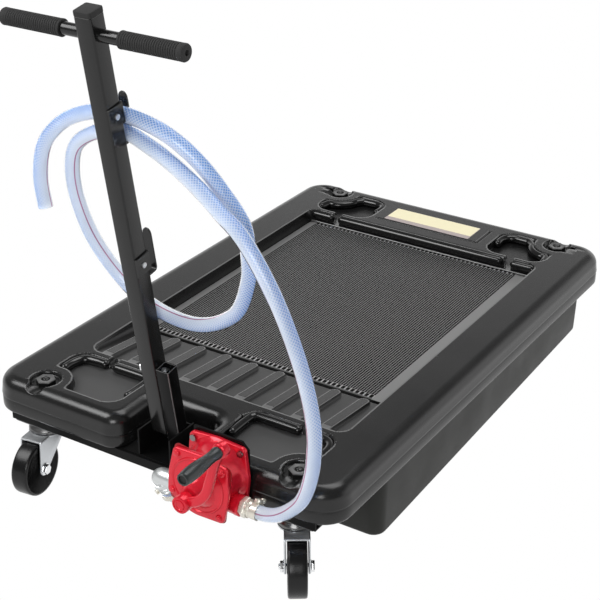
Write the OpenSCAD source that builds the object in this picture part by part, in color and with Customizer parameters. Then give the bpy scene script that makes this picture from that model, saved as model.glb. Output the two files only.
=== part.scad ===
// Rolling oil drain pan: a low wheeled tank with a strainer deck, a folding draw handle,
// a hand rotary pump and a discharge hose. Millimetres, +Z up, floor at z = 0.
// -Y is the handle and pump end, +X is right as seen from there.

/* [Tank] */
// Width of the deck moulding
tank_w = 684; // [640:1:740]
// Length of the deck moulding
tank_l = 1040; // [1000:1:1100]
// Height of the deck above the floor
deck_z = 196; // [190:1:214]
// Depth of the rim below the deck
rim_h = 60; // [54:1:64]
// Radius of the rim's upright corners
corner_r = 50; // [40:1:70]
// Radius of the rounded top edge
edge_r = 22; // [12:1:26]
// Radius of the rounded bottom edge
lower_r = 8; // [3:1:12]
// Wall of the rim
skin_t = 6; // [4:0.5:7]
// Thickness of the deck, with its pockets
deck_t = 24; // [20:1:28]

/* [Front notch] */
// Width of the notch for the handle
notch_w = 134; // [120:1:170]
// Depth of the notch from the front edge
notch_d = 101; // [92:1:110]
// Bevel along the notch's top edge
notch_bevel = 14; // [4:1:18]

/* [Basin] */
// Width of the basin
basin_w = 520; // [440:1:540]
// Distance of the basin's front edge from the tank's middle
basin_front = 357; // [330:1:365]
// Distance of the basin's rear edge from the tank's middle
basin_rear = 376; // [330:1:380]
// Depth of the grate's ledge below the deck
ledge_drop = 28; // [26:1:34]
// Width of the grate's ledge
ledge_w = 14; // [8:1:20]
// Thickness of the ledge
ledge_t = 5; // [3:0.5:8]
// Distance of the ramp's lower end from the tank's middle
ramp_end = 206; // [180:1:230]
// Drop of the ramp at its front
ramp_drop_front = 6; // [3:1:10]
// Drop of the ramp at the grate
ramp_drop_rear = 20; // [14:1:22]
// Thickness of the ramp
ramp_t = 5; // [3:0.5:6]
// Number of ribs on the ramp
rib_n = 9; // [5:1:10]
// Width of a rib
rib_w = 20; // [12:1:24]
// Height of a rib
rib_h = 6; // [3:0.5:8]
// Spacing of the ribs
rib_pitch = 56; // [40:1:56]
// Radius of the bead along the basin's rear wall
bead_r = 7; // [4:0.5:9]

/* [Pockets] */
// Depth of the tool pockets
pocket_drop = 16; // [10:1:18]
// Corner radius of a pocket
pocket_r = 20; // [10:1:26]
// Distance of a front pocket's inner side from the middle
front_pocket_x = 103; // [95:1:130]
// Distance of a rear pocket's inner side from the middle
rear_pocket_x = 133; // [125:1:160]
// Distance of a pocket's outer side from the middle
pocket_outer_x = 260; // [235:1:270]
// Distance of a front pocket's near side from the tank's middle
front_pocket_y = 376; // [368:1:384]
// Distance of a rear pocket's near side from the tank's middle
rear_pocket_y = 388; // [386:1:396]
// Distance of a pocket's far side from the tank's middle
pocket_far_y = 488; // [470:1:496]
// Width of the drain channel between a pocket and the basin
channel_w = 14; // [8:1:20]
// Distance of the drain channels from the middle
channel_x = 198; // [180:1:210]

/* [Corner bolts] */
// Distance of the bolts from the middle, across
bolt_x = 255; // [245:1:262]
// Distance of the bolts from the middle, along
bolt_y = 480; // [474:1:484]
// Radius of the dish round a bolt
dish_r = 28; // [22:1:32]
// Depth of the dish
dish_drop = 10; // [6:1:14]
// Radius of the ground left standing round the dish
dish_bank_r = 45; // [38:1:50]
// Width of the slot from the dish to the end of the tank
slot_w = 26; // [18:1:34]
// Radius of the corner bolts
bolt_r = 5; // [4:0.5:6]
// Clearance round bolts and screws
bolt_gap = 0.5; // [0.2:0.1:1]
// Radius of the column under a bolt
boss_r = 27; // [20:1:32]

/* [Sump] */
// Width of the sump
sump_w = 664; // [600:1:666]
// Distance of the sump's front wall from the tank's middle
sump_front = 375; // [368:1:380]
// Distance of the sump's rear wall from the tank's middle
sump_rear = 415; // [400:1:420]
// Height of the sump's underside above the floor at the front
sump_z_front = 30; // [26:1:44]
// Height of the sump's underside above the floor at the rear
sump_z_rear = 66; // [56:1:78]
// Wall of the sump
sump_t = 5; // [3:0.5:7]
// Radius of the sump's upright corners
sump_r = 28; // [14:1:40]
// Bevel along the sump's bottom edges
sump_bevel = 14; // [6:1:20]

/* [Grate and label] */
// Thickness of the strainer grate
grate_t = 3; // [2:0.5:4]
// Clearance round the grate
grate_gap = 2; // [1:0.5:5]
// Plain border of the grate
grate_border = 16; // [10:1:24]
// Plain border on the grate's right side
grate_border_right = 34; // [16:1:40]
// Number of slots across the grate
grate_cols = 30; // [10:1:32]
// Number of slots along the grate
grate_rows = 8; // [4:1:9]
// Width of a slot in the grate
grate_slot_w = 6; // [4:0.5:8]
// Web between two slots, end to end
grate_web = 9; // [6:0.5:14]
// Width of the label plate
label_w = 193; // [120:1:200]
// Length of the label plate
label_l = 60; // [40:1:62]
// Thickness of the label plate
label_t = 1.2; // [0.8:0.1:2]
// Distance of the label's middle from the tank's middle, along
label_y = 442; // [438:1:446]
// Offset of the label's middle across
label_x = -8; // [-12:1:4]

/* [Cross tubes] */
// Length of a cross tube beyond the caster plates
tube_end = 3; // [2:0.5:8]
// Width of a cross tube
tube_w = 70; // [64:1:74]
// Wall of a cross tube
tube_t = 3; // [2:0.5:4]
// Height of the casters, floor to the cross tubes
caster_h = 120; // [118:1:121]

/* [Handle] */
// Backward lean of the mast, degrees
mast_lean = 9.5; // [5:0.25:12]
// Side of the square mast tube
mast_s = 30; // [26:1:32]
// Wall of the mast tube
mast_t = 2; // [1.5:0.5:3]
// Length of the mast above its pivot
mast_up = 606; // [560:1:640]
// Length of the mast below its pivot
mast_down = 120; // [112:1:128]
// Offset of the mast's middle across
mast_x = -14.5; // [-16:0.5:-13]
// Height of the pivot above the floor
pivot_z = 292; // [286:1:300]
// Distance of the pivot from the tank's middle
pivot_y = 486; // [482:1:490]
// Radius of the pivot bolt
pivot_r = 5; // [4:0.5:6]
// Running clearance round pivots and axles
run_gap = 0.05; // [0.02:0.01:0.1]
// Height of the cap on the mast
cap_h = 9; // [6:1:16]
// Side of the square post
post_s = 25; // [22:1:28]
// Wall of the post
post_t = 2.5; // [2:0.5:3]
// Offset of the post's middle ahead of the pivot
post_ahead = 2.5; // [0:0.5:3]
// Gap between the mast and the post
post_gap = 1; // [0.6:0.2:2]
// Height of the post above the pivot
post_up = 14; // [12:1:24]
// Thickness of the foot bracket
foot_t = 3; // [2:0.5:4]
// Height of the foot bracket's ears
ear_h = 46; // [42:1:50]
// Length of the cross bar
bar_l = 312; // [300:1:340]
// Radius of the cross bar
bar_r = 9.5; // [8:0.5:11]
// Drop of the cross bar below the mast's top
bar_drop = 29; // [26:1:40]
// Length of a bar grip
bar_grip_l = 105; // [90:1:120]
// Radius of a bar grip
bar_grip_r = 13; // [12:0.5:15]
// Number of grooves on a bar grip
bar_grip_n = 9; // [5:1:12]

/* [Hose hooks] */
// Width of the hook strip
hook_w = 16; // [12:1:17]
// Thickness of the hook strip
hook_t = 3; // [2:0.5:4]
// Clear gap of a hook
hook_gap = 26; // [26:0.5:30]
// Distance of a hook's left edge from the mast's left side
hook_in = 1; // [0:0.5:1]
// Place of the upper hook along the mast
hook_up_z = 391; // [389:1:391]
// Height of the upper hook's finger
hook_up_h = 76; // [66:1:84]
// Height of the upper hook's cheek above its floor
hook_up_cheek = 46; // [40:1:50]
// Place of the lower hook along the mast
hook_low_z = 162; // [155:1:170]
// Height of the lower hook's finger
hook_low_h = 74; // [60:1:84]
// Height of the lower hook's cheek above its floor
hook_low_cheek = 25; // [15:1:30]
// Length of a cheek along the mast
cheek_l = 32; // [28:1:36]

/* [Pump] */
// Place of the pump's axis across
pump_x = 140; // [136:1:144]
// Height of the pump's axis above the floor
pump_z = 184; // [180:1:188]
// Distance of the pump's bracket plate from the tank's middle
pump_y = 522; // [521:1:530]
// Thickness of the bracket plate
plate_t = 4; // [3:0.5:5]
// Half side of the flange's and cover's square
flange_s = 53; // [50:1:55]
// Corner radius of the flange and of the cover
flange_corner = 9; // [6:1:11]
// Margin of the bracket plate round the flange
plate_margin = 7; // [5:1:9]
// Thickness of the flange
flange_t = 8; // [6:1:10]
// Radius of the pump body
body_r = 46; // [44:1:48]
// Length of the pump body
body_l = 44; // [40:1:50]
// Thickness of the cover
cover_t = 7; // [6:1:10]
// Thickness of the body's front flange, under the cover
lip_t = 4; // [3:0.5:4]
// Turn of the cover, degrees
cover_turn = 8; // [0:1:12]
// Radius of the pump chamber
chamber_r = 37; // [34:1:38]
// Clearance of the rotor in its chamber
rotor_gap = 0.5; // [0.3:0.1:1]
// Radius of the pump's shaft
shaft_r = 8; // [6:0.5:9]
// Offset of the shaft from the middle of the body, across
shaft_dx = 2; // [1:1:4]
// Drop of the shaft below the middle of the body
shaft_drop = 7; // [5:1:9]
// Drop of the ports below the axis
port_drop = 32; // [30:1:34]
// Radius of a port
port_r = 17; // [15:0.5:18]
// Reach of a port from the axis
port_reach = 62; // [58:1:66]
// Radius of a port's bore
port_bore_r = 9; // [7:0.5:10]

/* [Crank] */
// Reach of the crank from the shaft to the grip, across
crank_dx = 72; // [65:1:82]
// Rise of the grip above the shaft
crank_dz = 118; // [110:1:126]
// Bow of the crank arm
crank_bow = 18; // [10:1:24]
// Width of the crank arm
arm_w = 15; // [12:1:18]
// Thickness of the crank arm
arm_t = 11; // [8:1:14]
// Radius of the crank's hub
hub_r = 14.5; // [13:0.5:18]
// Length of the crank's hub
hub_l = 21; // [18:1:26]
// Length of the crank's grip
grip_l = 86; // [70:1:100]
// Largest radius of the crank's grip
grip_r = 11.5; // [11:0.5:14]
// Radius of the grip's spindle
spindle_r = 4; // [3.5:0.5:5]

/* [Hose] */
// Radius of the hoses
hose_r = 12; // [11:0.5:12]
// Bore of the suction hose
hose_bore_r = 9; // [8:0.5:9.5]

/* [Casters] */
// Radius of a wheel
wheel_r = 49.5; // [46:0.5:49.5]
// Width of a wheel
wheel_w = 30; // [24:1:32]
// Trail of the front casters
trail = 42; // [36:1:43]
// Distance of the kingpins ahead of the corner bolts
caster_ahead = 8; // [4:1:9]
// Half length of a caster's top plate
caster_plate_x = 48; // [46:1:52]
// Half width of a caster's top plate
caster_plate_y = 26; // [24:1:27]
// Height of the raceway under the top plate
race_h = 12; // [11:0.5:13]
// Reach of a fork's leg behind the kingpin
fork_back = 20; // [16:1:22]
// Reach of a fork's leg ahead of the kingpin
fork_front = 24; // [20:1:26]
// Radius of a fork's leg round the axle
leg_r = 12; // [11:0.5:14]
// Height of the leg's upright edge under the crown
leg_drop = 14; // [8:1:18]
// Radius of a wheel's hub
wheel_hub_r = 13; // [11:0.5:15]
// Depth of the dish in a wheel's side
wheel_dish = 3; // [1:0.5:4]
// Height of a wheel's tyre
tyre_h = 12; // [9:0.5:15]
// Radius of the tyre's shoulder
tyre_r = 4; // [2:0.5:6]
// Radius of the axles
axle_r = 5; // [4:0.5:6]
// Set-back of the rear wheels under their plates
rear_lead = -10; // [-12:1:-8]
// Gap between a wheel and its fork
fork_gap = 2.5; // [1.5:0.5:4]
// Thickness of the fork
fork_t = 3; // [2:0.5:4]
// Swivel of the left front caster, degrees
swivel_left = -83; // [-110:1:-60]
// Swivel of the right front caster, degrees
swivel_right = -56; // [-90:1:-40]
// Radius of the raceway
race_r = 30; // [26:1:34]
// Radius of the kingpin
kingpin_r = 6; // [5:0.5:8]

/* [Hidden] */
$fn = 64;
// Steps of a quarter round in an outline
arc_n = 6;
// Cutters run this far past the faces they open
over = 1;

rim_z = deck_z - rim_h;
under_z = deck_z - deck_t;
tube_l = 2 * (bolt_x + caster_plate_x + tube_end);
bar_up = mast_up - bar_drop;
front_y = -tank_l / 2;
rear_y = tank_l / 2;
ledge_z = deck_z - ledge_drop;
nut_t = 8;
bolt_end = 1;
head_t = 6;

// The pump's stations along its axis, counted towards -Y
plate_face = -pump_y - plate_t;
flange_face = plate_face - flange_t;
body_face = flange_face - body_l;
gasket_t = 1;
cover_back = body_face - gasket_t;
cover_face = cover_back - cover_t;
disc_t = 4;
boss_l = 21;
boss_face = cover_face - disc_t - boss_l;
hub_gap = 4;
hub_back = boss_face - hub_gap;
hub_face = hub_back - hub_l;
arm_back = hub_back - 3;
arm_face = arm_back - arm_t;
grip_seat = arm_face - 3;
grip_face = grip_seat - grip_l;
port_y = (flange_face + body_face) / 2;
port_z = pump_z - port_drop;

// The part's origin is under the middle of its own box, so the tank's middle lies ahead of it
tank_cy = (-grip_face - rear_y) / 2;

// Inlet elbow and suction hose
elbow_reach = 100;
elbow_x = pump_x - elbow_reach;
elbow_tilt = 27;
elbow_leg = 46;
suction_bend = 60;
elbow_end_y = port_y + elbow_leg * sin(elbow_tilt);
elbow_end_z = port_z - elbow_leg * cos(elbow_tilt);
suction_turn = 90 - elbow_tilt;
suction_y = elbow_end_y + suction_bend * sin(suction_turn);
suction_z = elbow_end_z - suction_bend * (1 - cos(suction_turn));
spigot_l = 26;

// Outlet fitting
barb_hex_l = 10;
barb_l = 17;
hose_start_x = pump_x + port_reach + barb_l;

// Discharge hose: its route in the tank's own frame, pump to free end
HOSE = [
    [219, -556, 152], [228, -556, 152], [238, -556, 152], [251, -556, 154.5], [266, -556, 161],
    [281, -556, 171.5], [294, -555, 184], [307, -555, 201], [316, -554, 223], [322, -553, 249],
    [325, -552, 275], [325, -551, 328], [310, -549, 395], [282, -547, 467], [246, -545, 534],
    [200, -541, 592], [156, -535, 621], [117, -531, 647], [72, -527, 671], [28, -524.5, 689],
    [-16, -523.2, 701], [-67, -522.5, 691], [-112, -519, 661], [-131, -512, 613], [-133, -500, 553],
    [-116, -487, 488], [-73, -474, 426], [-15, -466, 388], [60, -462, 381], [128, -464, 418],
    [158, -470, 480], [166, -478, 533], [165, -488, 584], [143, -500, 635], [107, -514, 685],
    [56, -525, 719], [-15, -527, 730], [-73, -527.5, 722], [-127, -528.5, 697], [-164, -532, 656],
    [-176, -534, 603], [-169, -536, 553]
];
hose_sides = 10;
hose_steps = 2;

// Points of an arc, from angle a0 to angle a1
function arc(x, y, r, a0, a1) =
    [for (i = [0:arc_n]) let (a = a0 + (a1 - a0) * i / arc_n) [x + r * cos(a), y + r * sin(a)]];

// Outline of a rectangle with round corners, between two opposite corners
function round_box(x0, y0, x1, y1, r) = concat(
    arc(x1 - r, y1 - r, r, 0, 90), arc(x0 + r, y1 - r, r, 90, 180),
    arc(x0 + r, y0 + r, r, 180, 270), arc(x1 - r, y0 + r, r, 270, 360));

// The tank's own frame
module tank_frame() { translate([0, tank_cy, 0]) children(); }

// A prism of a round-cornered rectangle
module slab(x0, y0, x1, y1, r, z0, z1) {
    translate([0, 0, z0]) linear_extrude(z1 - z0) polygon(round_box(x0, y0, x1, y1, r));
}

module block(x0, y0, z0, x1, y1, z1) {
    translate([x0, y0, z0]) cube([x1 - x0, y1 - y0, z1 - z0]);
}

// A cylinder along +X, +Y or +Z, from its near end
module rod_x(x, y, z, r, l) { translate([x, y, z]) rotate([0, 90, 0]) cylinder(r = r, h = l); }
module rod_y(x, y, z, r, l) { translate([x, y, z]) rotate([-90, 0, 0]) cylinder(r = r, h = l); }
module rod_z(x, y, z, r, l) { translate([x, y, z]) cylinder(r = r, h = l); }
module hex_x(x, y, z, r, l) { translate([x, y, z]) rotate([0, 90, 0]) cylinder(r = r, h = l, $fn = 6); }
module hex_y(x, y, z, r, l) { translate([x, y, z]) rotate([-90, 0, 0]) cylinder(r = r, h = l, $fn = 6); }
module hex_z(x, y, z, r, l) { translate([x, y, z]) cylinder(r = r, h = l, $fn = 6); }

// Both sides, left and right
module both_sides() { for (s = [-1, 1]) scale_x(s) children(); }
module scale_x(s) { if (s < 0) mirror([1, 0, 0]) children(); else children(); }

// Each of the four corner bolts
module at_bolts() { for (sx = [-1, 1], sy = [-1, 1]) translate([sx * bolt_x, sy * bolt_y, 0]) children(); }

// Section of the rim, outward along +X from a corner's centre
function rim_section() = concat(
    [[0, 0]], arc(corner_r - lower_r, lower_r, lower_r, -90, 0),
    arc(corner_r - edge_r, rim_h - edge_r, edge_r, 0, 90), [[0, rim_h]]);

// The rim as a solid: four turned corners, four sides and a core
module rim_solid() {
    cx = tank_w / 2 - corner_r;
    cy = tank_l / 2 - corner_r;
    translate([0, 0, rim_z]) {
        for (k = [0:3]) {
            translate([k == 0 || k == 3 ? cx : -cx, k < 2 ? cy : -cy, 0]) rotate([0, 0, 90 * k])
                rotate_extrude(angle = 90) polygon(rim_section());
        }
        for (s = [0, 180]) rotate([0, 0, s]) {
            translate([cx, cy, 0]) rotate([90, 0, 0]) linear_extrude(2 * cy) polygon(rim_section());
            translate([-cx, cy, 0]) rotate([90, 0, 90]) linear_extrude(2 * cx) polygon(rim_section());
        }
        translate([-cx, -cy, 0]) cube([2 * cx, 2 * cy, rim_h]);
    }
}

// Hollow under the deck, leaving the rim's wall and the notch's wall
module deck_hollow() {
    difference() {
        slab(-tank_w / 2 + skin_t, front_y + skin_t, tank_w / 2 - skin_t, rear_y - skin_t,
            corner_r - skin_t, rim_z - over, under_z);
        block(-notch_w / 2 - skin_t, front_y - over, rim_z - 2 * over,
            notch_w / 2 + skin_t, front_y + notch_d + skin_t, deck_z);
        at_bolts() rod_z(0, 0, rim_z - 2 * over, boss_r, rim_h);
    }
}

// Notch for the handle, with bevels along its top edges
module notch_cut() {
    b = notch_bevel;
    slab(-notch_w / 2, front_y - notch_d, notch_w / 2, front_y + notch_d, pocket_r,
        rim_z - over, deck_z + over);
    slab_l = notch_d + over;
    both_sides() translate([notch_w / 2, front_y - over, deck_z - b]) rotate([-90, 0, 0])
        linear_extrude(slab_l + over) polygon([[-over, 0], [-over, -b - over], [b + over, -b - over]]);
    translate([-notch_w / 2, front_y + notch_d, deck_z - b]) rotate([90, 0, 90])
        linear_extrude(notch_w) polygon([[-over, 0], [b + over, b + over], [-over, b + over]]);
}

// One pocket with its bank round the bolt dish and its drain channel
module pocket_cut(inner_x, near_y, end, basin_y) {
    z0 = deck_z - pocket_drop;
    difference() {
        slab(inner_x, end > 0 ? near_y : -pocket_far_y, pocket_outer_x, end > 0 ? pocket_far_y : -near_y,
            pocket_r, z0, deck_z + over);
        rod_z(bolt_x, end * bolt_y, z0 - over, dish_bank_r, pocket_drop + 3 * over);
    }
    block(channel_x - channel_w / 2, end > 0 ? basin_y - over : -near_y - over, z0,
        channel_x + channel_w / 2, end > 0 ? near_y + over : -basin_y + over, deck_z + over);
}

// Round dish for a corner bolt, with its slot to the end of the tank
module dish_cut() {
    for (sx = [-1, 1], sy = [-1, 1]) {
        x = sx * bolt_x;
        y0 = sy > 0 ? bolt_y : -rear_y - over;
        y1 = sy > 0 ? rear_y + over : -bolt_y;
        rod_z(x, sy * bolt_y, deck_z - dish_drop, dish_r, dish_drop + over);
        block(x - slot_w / 2, y0, deck_z - dish_drop, x + slot_w / 2, y1, deck_z + over);
        rod_z(x, sy * bolt_y, rim_z - over, bolt_r + bolt_gap, rim_h);
    }
}

// Seat of the label and the groove round two of its sides
module label_cut() {
    gw = 5;
    gd = 3;
    x0 = label_x - label_w / 2;
    x1 = label_x + label_w / 2;
    y0 = label_y - label_l / 2;
    y1 = label_y + label_l / 2;
    block(x0 - over, y0 - over, deck_z - label_t, x1 + over, y1 + over, deck_z + over);
    block(x0 - 3 * gw, y0 - 2 * gw, deck_z - gd, x1 + 5 * gw, y0 - gw, deck_z + over);
    block(x1 + 4 * gw, y0 - 2 * gw, deck_z - gd, x1 + 5 * gw, y1, deck_z + over);
}

// Sloping ramp in front of the grate, with its ribs
module ramp() {
    run = basin_front - ramp_end;
    fall = ramp_drop_rear - ramp_drop_front;
    z0 = deck_z - ramp_drop_front;
    slope = atan(fall / run);
    translate([-basin_w / 2, 0, 0]) rotate([90, 0, 90]) linear_extrude(basin_w)
        polygon([[-basin_front, z0], [-ramp_end, z0 - fall], [-ramp_end, ledge_z],
            [-ramp_end - ledge_w, ledge_z - ledge_t], [-ramp_end - 2 * ledge_w, ledge_z],
            [-basin_front, z0 - ramp_t]]);
    translate([0, -basin_front, z0]) rotate([-slope, 0, 0]) for (i = [0:rib_n - 1]) {
        x = (i - (rib_n - 1) / 2) * rib_pitch;
        l = run - rib_w;
        block(x - rib_w / 2, 0, -ramp_t / 2, x + rib_w / 2, l, rib_h);
        rod_z(x, l, -ramp_t / 2, rib_w / 2, rib_h + ramp_t / 2);
    }
}

// Frame under the basin's edge that carries the grate
module basin_frame() {
    o = skin_t;
    b = basin_w / 2;
    difference() {
        block(-b - o, -basin_front - o, ledge_z - ledge_t, b + o, basin_rear + o, under_z + over);
        block(-b, -basin_front, ledge_z, b, basin_rear, deck_z);
        block(-b + ledge_w, -basin_front, ledge_z - ledge_t - over, b - ledge_w, -ramp_end - over, deck_z);
        block(-b + ledge_w, -ramp_end + ledge_w, ledge_z - ledge_t - over,
            b - ledge_w, basin_rear - ledge_w, deck_z);
    }
}

module deck() {
    color("#232323") tank_frame() {
        difference() {
            rim_solid();
            deck_hollow();
            notch_cut();
            block(-basin_w / 2, -basin_front, rim_z, basin_w / 2, basin_rear, deck_z + over);
            both_sides() pocket_cut(front_pocket_x, front_pocket_y, -1, basin_front);
            both_sides() pocket_cut(rear_pocket_x, rear_pocket_y, 1, basin_rear);
            dish_cut();
            label_cut();
        }
        basin_frame();
        ramp();
        intersection() {
            rod_x(-channel_x + channel_w, basin_rear, deck_z - ledge_drop / 2, bead_r,
                2 * channel_x - 2 * channel_w);
            block(-basin_w, basin_rear - 2 * bead_r, 0, basin_w, basin_rear + skin_t / 2, deck_z);
        }
    }
}

// Sump shape, shrunk by t on every side
module sump_shape(t) {
    slope = (sump_z_rear - sump_z_front) / (sump_front + sump_rear);
    y0 = -sump_front + t;
    y1 = sump_rear - t;
    x1 = sump_w / 2 - t;
    z0 = sump_z_front + slope * t + t;
    z1 = sump_z_rear - slope * t + t;
    top = under_z + (t > 0 ? over : 0);
    b = sump_bevel;
    intersection() {
        slab(-x1, y0, x1, y1, sump_r - t, 0, top);
        translate([-sump_w, 0, 0]) rotate([90, 0, 90]) linear_extrude(2 * sump_w)
            polygon([[y0, top + over], [y0, z0 + b], [y0 + b, z0], [y1 - b, z1], [y1, z1 + b],
                [y1, top + over]]);
        translate([0, sump_rear + over, 0]) rotate([90, 0, 0])
            linear_extrude(sump_rear + sump_front + 2 * over)
            polygon([[-x1, top + over], [-x1, z1 + b], [-x1 + b, z0 - over], [x1 - b, z0 - over],
                [x1, z1 + b], [x1, top + over]]);
    }
}

module sump_tub() {
    color("#2b2c29") tank_frame() difference() {
        sump_shape(0);
        sump_shape(sump_t);
        rod_y(elbow_x, -sump_front - over, suction_z, hose_bore_r + 1 + bolt_gap, sump_t + 2 * over);
    }
}

module strainer_grate() {
    x0 = -basin_w / 2 + grate_gap;
    x1 = basin_w / 2 - grate_gap;
    y0 = -ramp_end + grate_gap;
    y1 = basin_rear - grate_gap;
    fx = (x1 - grate_border_right - x0 - grate_border) / grate_cols;
    fy = (y1 - y0 - 2 * grate_border) / grate_rows;
    color("#3a3a3a") tank_frame() difference() {
        block(x0, y0, ledge_z, x1, y1, ledge_z + grate_t);
        for (i = [0:grate_cols - 1], j = [0:grate_rows - 1]) {
            translate([x0 + grate_border + (i + 0.5) * fx - grate_slot_w / 2,
                y0 + grate_border + j * fy + grate_web / 2, ledge_z - over])
                cube([grate_slot_w, fy - grate_web, grate_t + 2 * over]);
        }
    }
}

module label_plate() {
    color("#ece6c4") tank_frame()
        block(label_x - label_w / 2, label_y - label_l / 2, deck_z - label_t,
            label_x + label_w / 2, label_y + label_l / 2, deck_z);
}

// Corner bolts through the deck's columns into the cross tubes
module corner_bolts() {
    dish_z = deck_z - dish_drop;
    color("#1c1c1c") tank_frame() at_bolts() {
        rod_z(0, 0, dish_z, 2.4 * bolt_r, 2);
        hex_z(0, 0, dish_z + 2, 1.8 * bolt_r, head_t);
        end_z = rim_z - tube_t - nut_t - bolt_end;
        rod_z(0, 0, end_z, bolt_r, dish_z + 1 - end_z);
    }
}

module corner_nuts() {
    color("#8d8f92") tank_frame() at_bolts() difference() {
        hex_z(0, 0, rim_z - tube_t - nut_t, 1.8 * bolt_r, nut_t);
        rod_z(0, 0, rim_z - tube_t - nut_t - over, bolt_r + run_gap, nut_t + 2 * over);
    }
}

// Cross tube under one end of the deck
module cross_tube(end) {
    y = end * bolt_y;
    h = tube_w / 2;
    difference() {
        block(-tube_l / 2, y - h, caster_h, tube_l / 2, y + h, rim_z);
        block(-tube_l, y - h + tube_t, caster_h + tube_t, tube_l, y + h - tube_t, rim_z - tube_t);
        for (s = [-1, 1]) rod_z(s * bolt_x, y, rim_z - 2 * tube_t, bolt_r + bolt_gap, 3 * tube_t);
        at_plate_bolts() rod_z(0, 0, caster_h - over, plate_bolt_r + bolt_gap, 2 * tube_t);
    }
}

// Each bolt of the caster plates, front and rear
module at_plate_bolts() {
    for (s = [-1, 1], t = [-1, 1], y = [-bolt_y - caster_ahead, bolt_y])
        translate([s * bolt_x + t * plate_bolt_x, y, 0]) children();
}

// Caster plates: half spacing and radius of their bolts
plate_bolt_x = caster_plate_x - 9;
plate_bolt_r = 3;
caster_plate_t = 3;
plate_corner = 6;

module front_cross_tube() {
    color("#151515") tank_frame() difference() {
        cross_tube(-1);
        for (x = foot_bolt_xs) rod_z(x, -bolt_y, rim_z - 2 * tube_t, plate_bolt_r + 1 + bolt_gap, 3 * tube_t);
        for (x = bracket_bolt_xs) rod_z(x, -bolt_y, caster_h - over, plate_bolt_r + 1 + bolt_gap, 2 * tube_t);
    }
}

module rear_cross_tube() { color("#151515") tank_frame() cross_tube(1); }

// The mast's own frame: origin on the pivot, z along the mast
module mast_frame() { tank_frame() translate([0, -pivot_y, pivot_z]) rotate([mast_lean, 0, 0]) children(); }

mast_l = mast_x - mast_s / 2;
mast_r = mast_x + mast_s / 2;
post_l = mast_r + post_gap;
post_r = post_l + post_s;
ear_gap = 2.5;
foot_l = mast_l - ear_gap - foot_t;
foot_r = post_r + 1 + foot_t;
foot_wing = 30;
foot_back = 4;
stop_gap = 0.4;
foot_bolt_xs = [foot_l - foot_wing / 2, foot_r + foot_wing / 2];
foot_top = rim_z + foot_t;
foot_y0 = -bolt_y - tube_w / 2 + foot_back;
foot_y1 = -bolt_y + tube_w / 2;

// Foot bracket: floor with wings, two ears and the web that stops the mast
module foot_bracket() {
    web_y = mast_s / 2 + stop_gap;
    color("#171717") {
        tank_frame() difference() {
            union() {
                block(foot_l - foot_wing, foot_y0, rim_z, foot_r + foot_wing, foot_y1, foot_top);
                block(foot_l, foot_y0, rim_z, foot_l + foot_t, foot_y1, foot_top + ear_h);
                block(foot_r - foot_t, foot_y0, rim_z, foot_r, foot_y1, foot_top + ear_h);
            }
            for (x = foot_bolt_xs)
                rod_z(x, -bolt_y, rim_z - over, plate_bolt_r + 1 + bolt_gap, 3 * foot_t);
        }
        intersection() {
            mast_frame()
                block(foot_l + foot_t / 2, web_y, -2 * mast_down, foot_r - foot_t / 2, web_y + foot_t, 0);
            tank_frame() block(foot_l, -pivot_y - mast_s, rim_z + foot_t / 2, foot_r, 0, foot_top + ear_h);
        }
    }
}

module foot_bolts() {
    color("#8d8f92") tank_frame() for (x = foot_bolt_xs) {
        hex_z(x, -bolt_y, foot_top, 1.8 * plate_bolt_r + 2, head_t);
        rod_z(x, -bolt_y, rim_z - tube_t - 5, plate_bolt_r + 1, tube_t + foot_t + 6);
    }
}

// Support post, open at the top, standing on the foot bracket
module post() {
    y0 = -post_ahead - post_s / 2;
    y1 = -post_ahead + post_s / 2;
    color("#1a1a1a") difference() {
        intersection() {
            mast_frame() block(post_l, y0, -2 * pivot_z, post_r, y1, post_up);
            tank_frame() block(post_l - over, -pivot_y - tube_w, foot_top, post_r + over, 0, 2 * pivot_z);
        }
        mast_frame() {
            block(post_l + post_t, y0 + post_t, -2 * pivot_z, post_r - post_t, y1 - post_t, post_up + over);
            rod_x(post_l - over, 0, 0, pivot_r + run_gap, post_t + 2 * over);
        }
    }
}

module pivot_bolt() {
    washer_t = 1.5;
    color("#a9abad") mast_frame() {
        rod_x(mast_l - washer_t, 0, 0, 2.2 * pivot_r, washer_t);
        hex_x(mast_l - washer_t - head_t, 0, 0, 1.8 * pivot_r, head_t);
        rod_x(mast_l - washer_t - over, 0, 0, pivot_r, post_l + post_t + nut_t + 2 - mast_l + washer_t);
    }
}

// Nut inside the post and the spacer washer between mast and post
module pivot_nut() {
    color("#a9abad") mast_frame() {
        difference() {
            hex_x(post_l + post_t, 0, 0, 1.7 * pivot_r, nut_t);
            rod_x(post_l, 0, 0, pivot_r + run_gap, 3 * nut_t);
        }
        difference() {
            rod_x(mast_r, 0, 0, 2 * pivot_r, post_gap);
            rod_x(mast_r - over, 0, 0, pivot_r + run_gap, post_gap + 2 * over);
        }
    }
}

module mast_tube() {
    h = mast_s / 2;
    color("#262626") mast_frame() difference() {
        block(mast_l, -h, -mast_down, mast_r, h, mast_up);
        block(mast_l + mast_t, -h + mast_t, -mast_down - over, mast_r - mast_t, h - mast_t, mast_up + over);
        rod_x(mast_l - over, 0, 0, pivot_r + run_gap, mast_s + 2 * over);
        rod_x(mast_l - over, 0, bar_up, bar_r + run_gap, mast_s + 2 * over);
        for (z = hook_screw_zs) rod_x(mast_x, 0, z, hook_screw_r + bolt_gap, mast_s);
    }
}

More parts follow.
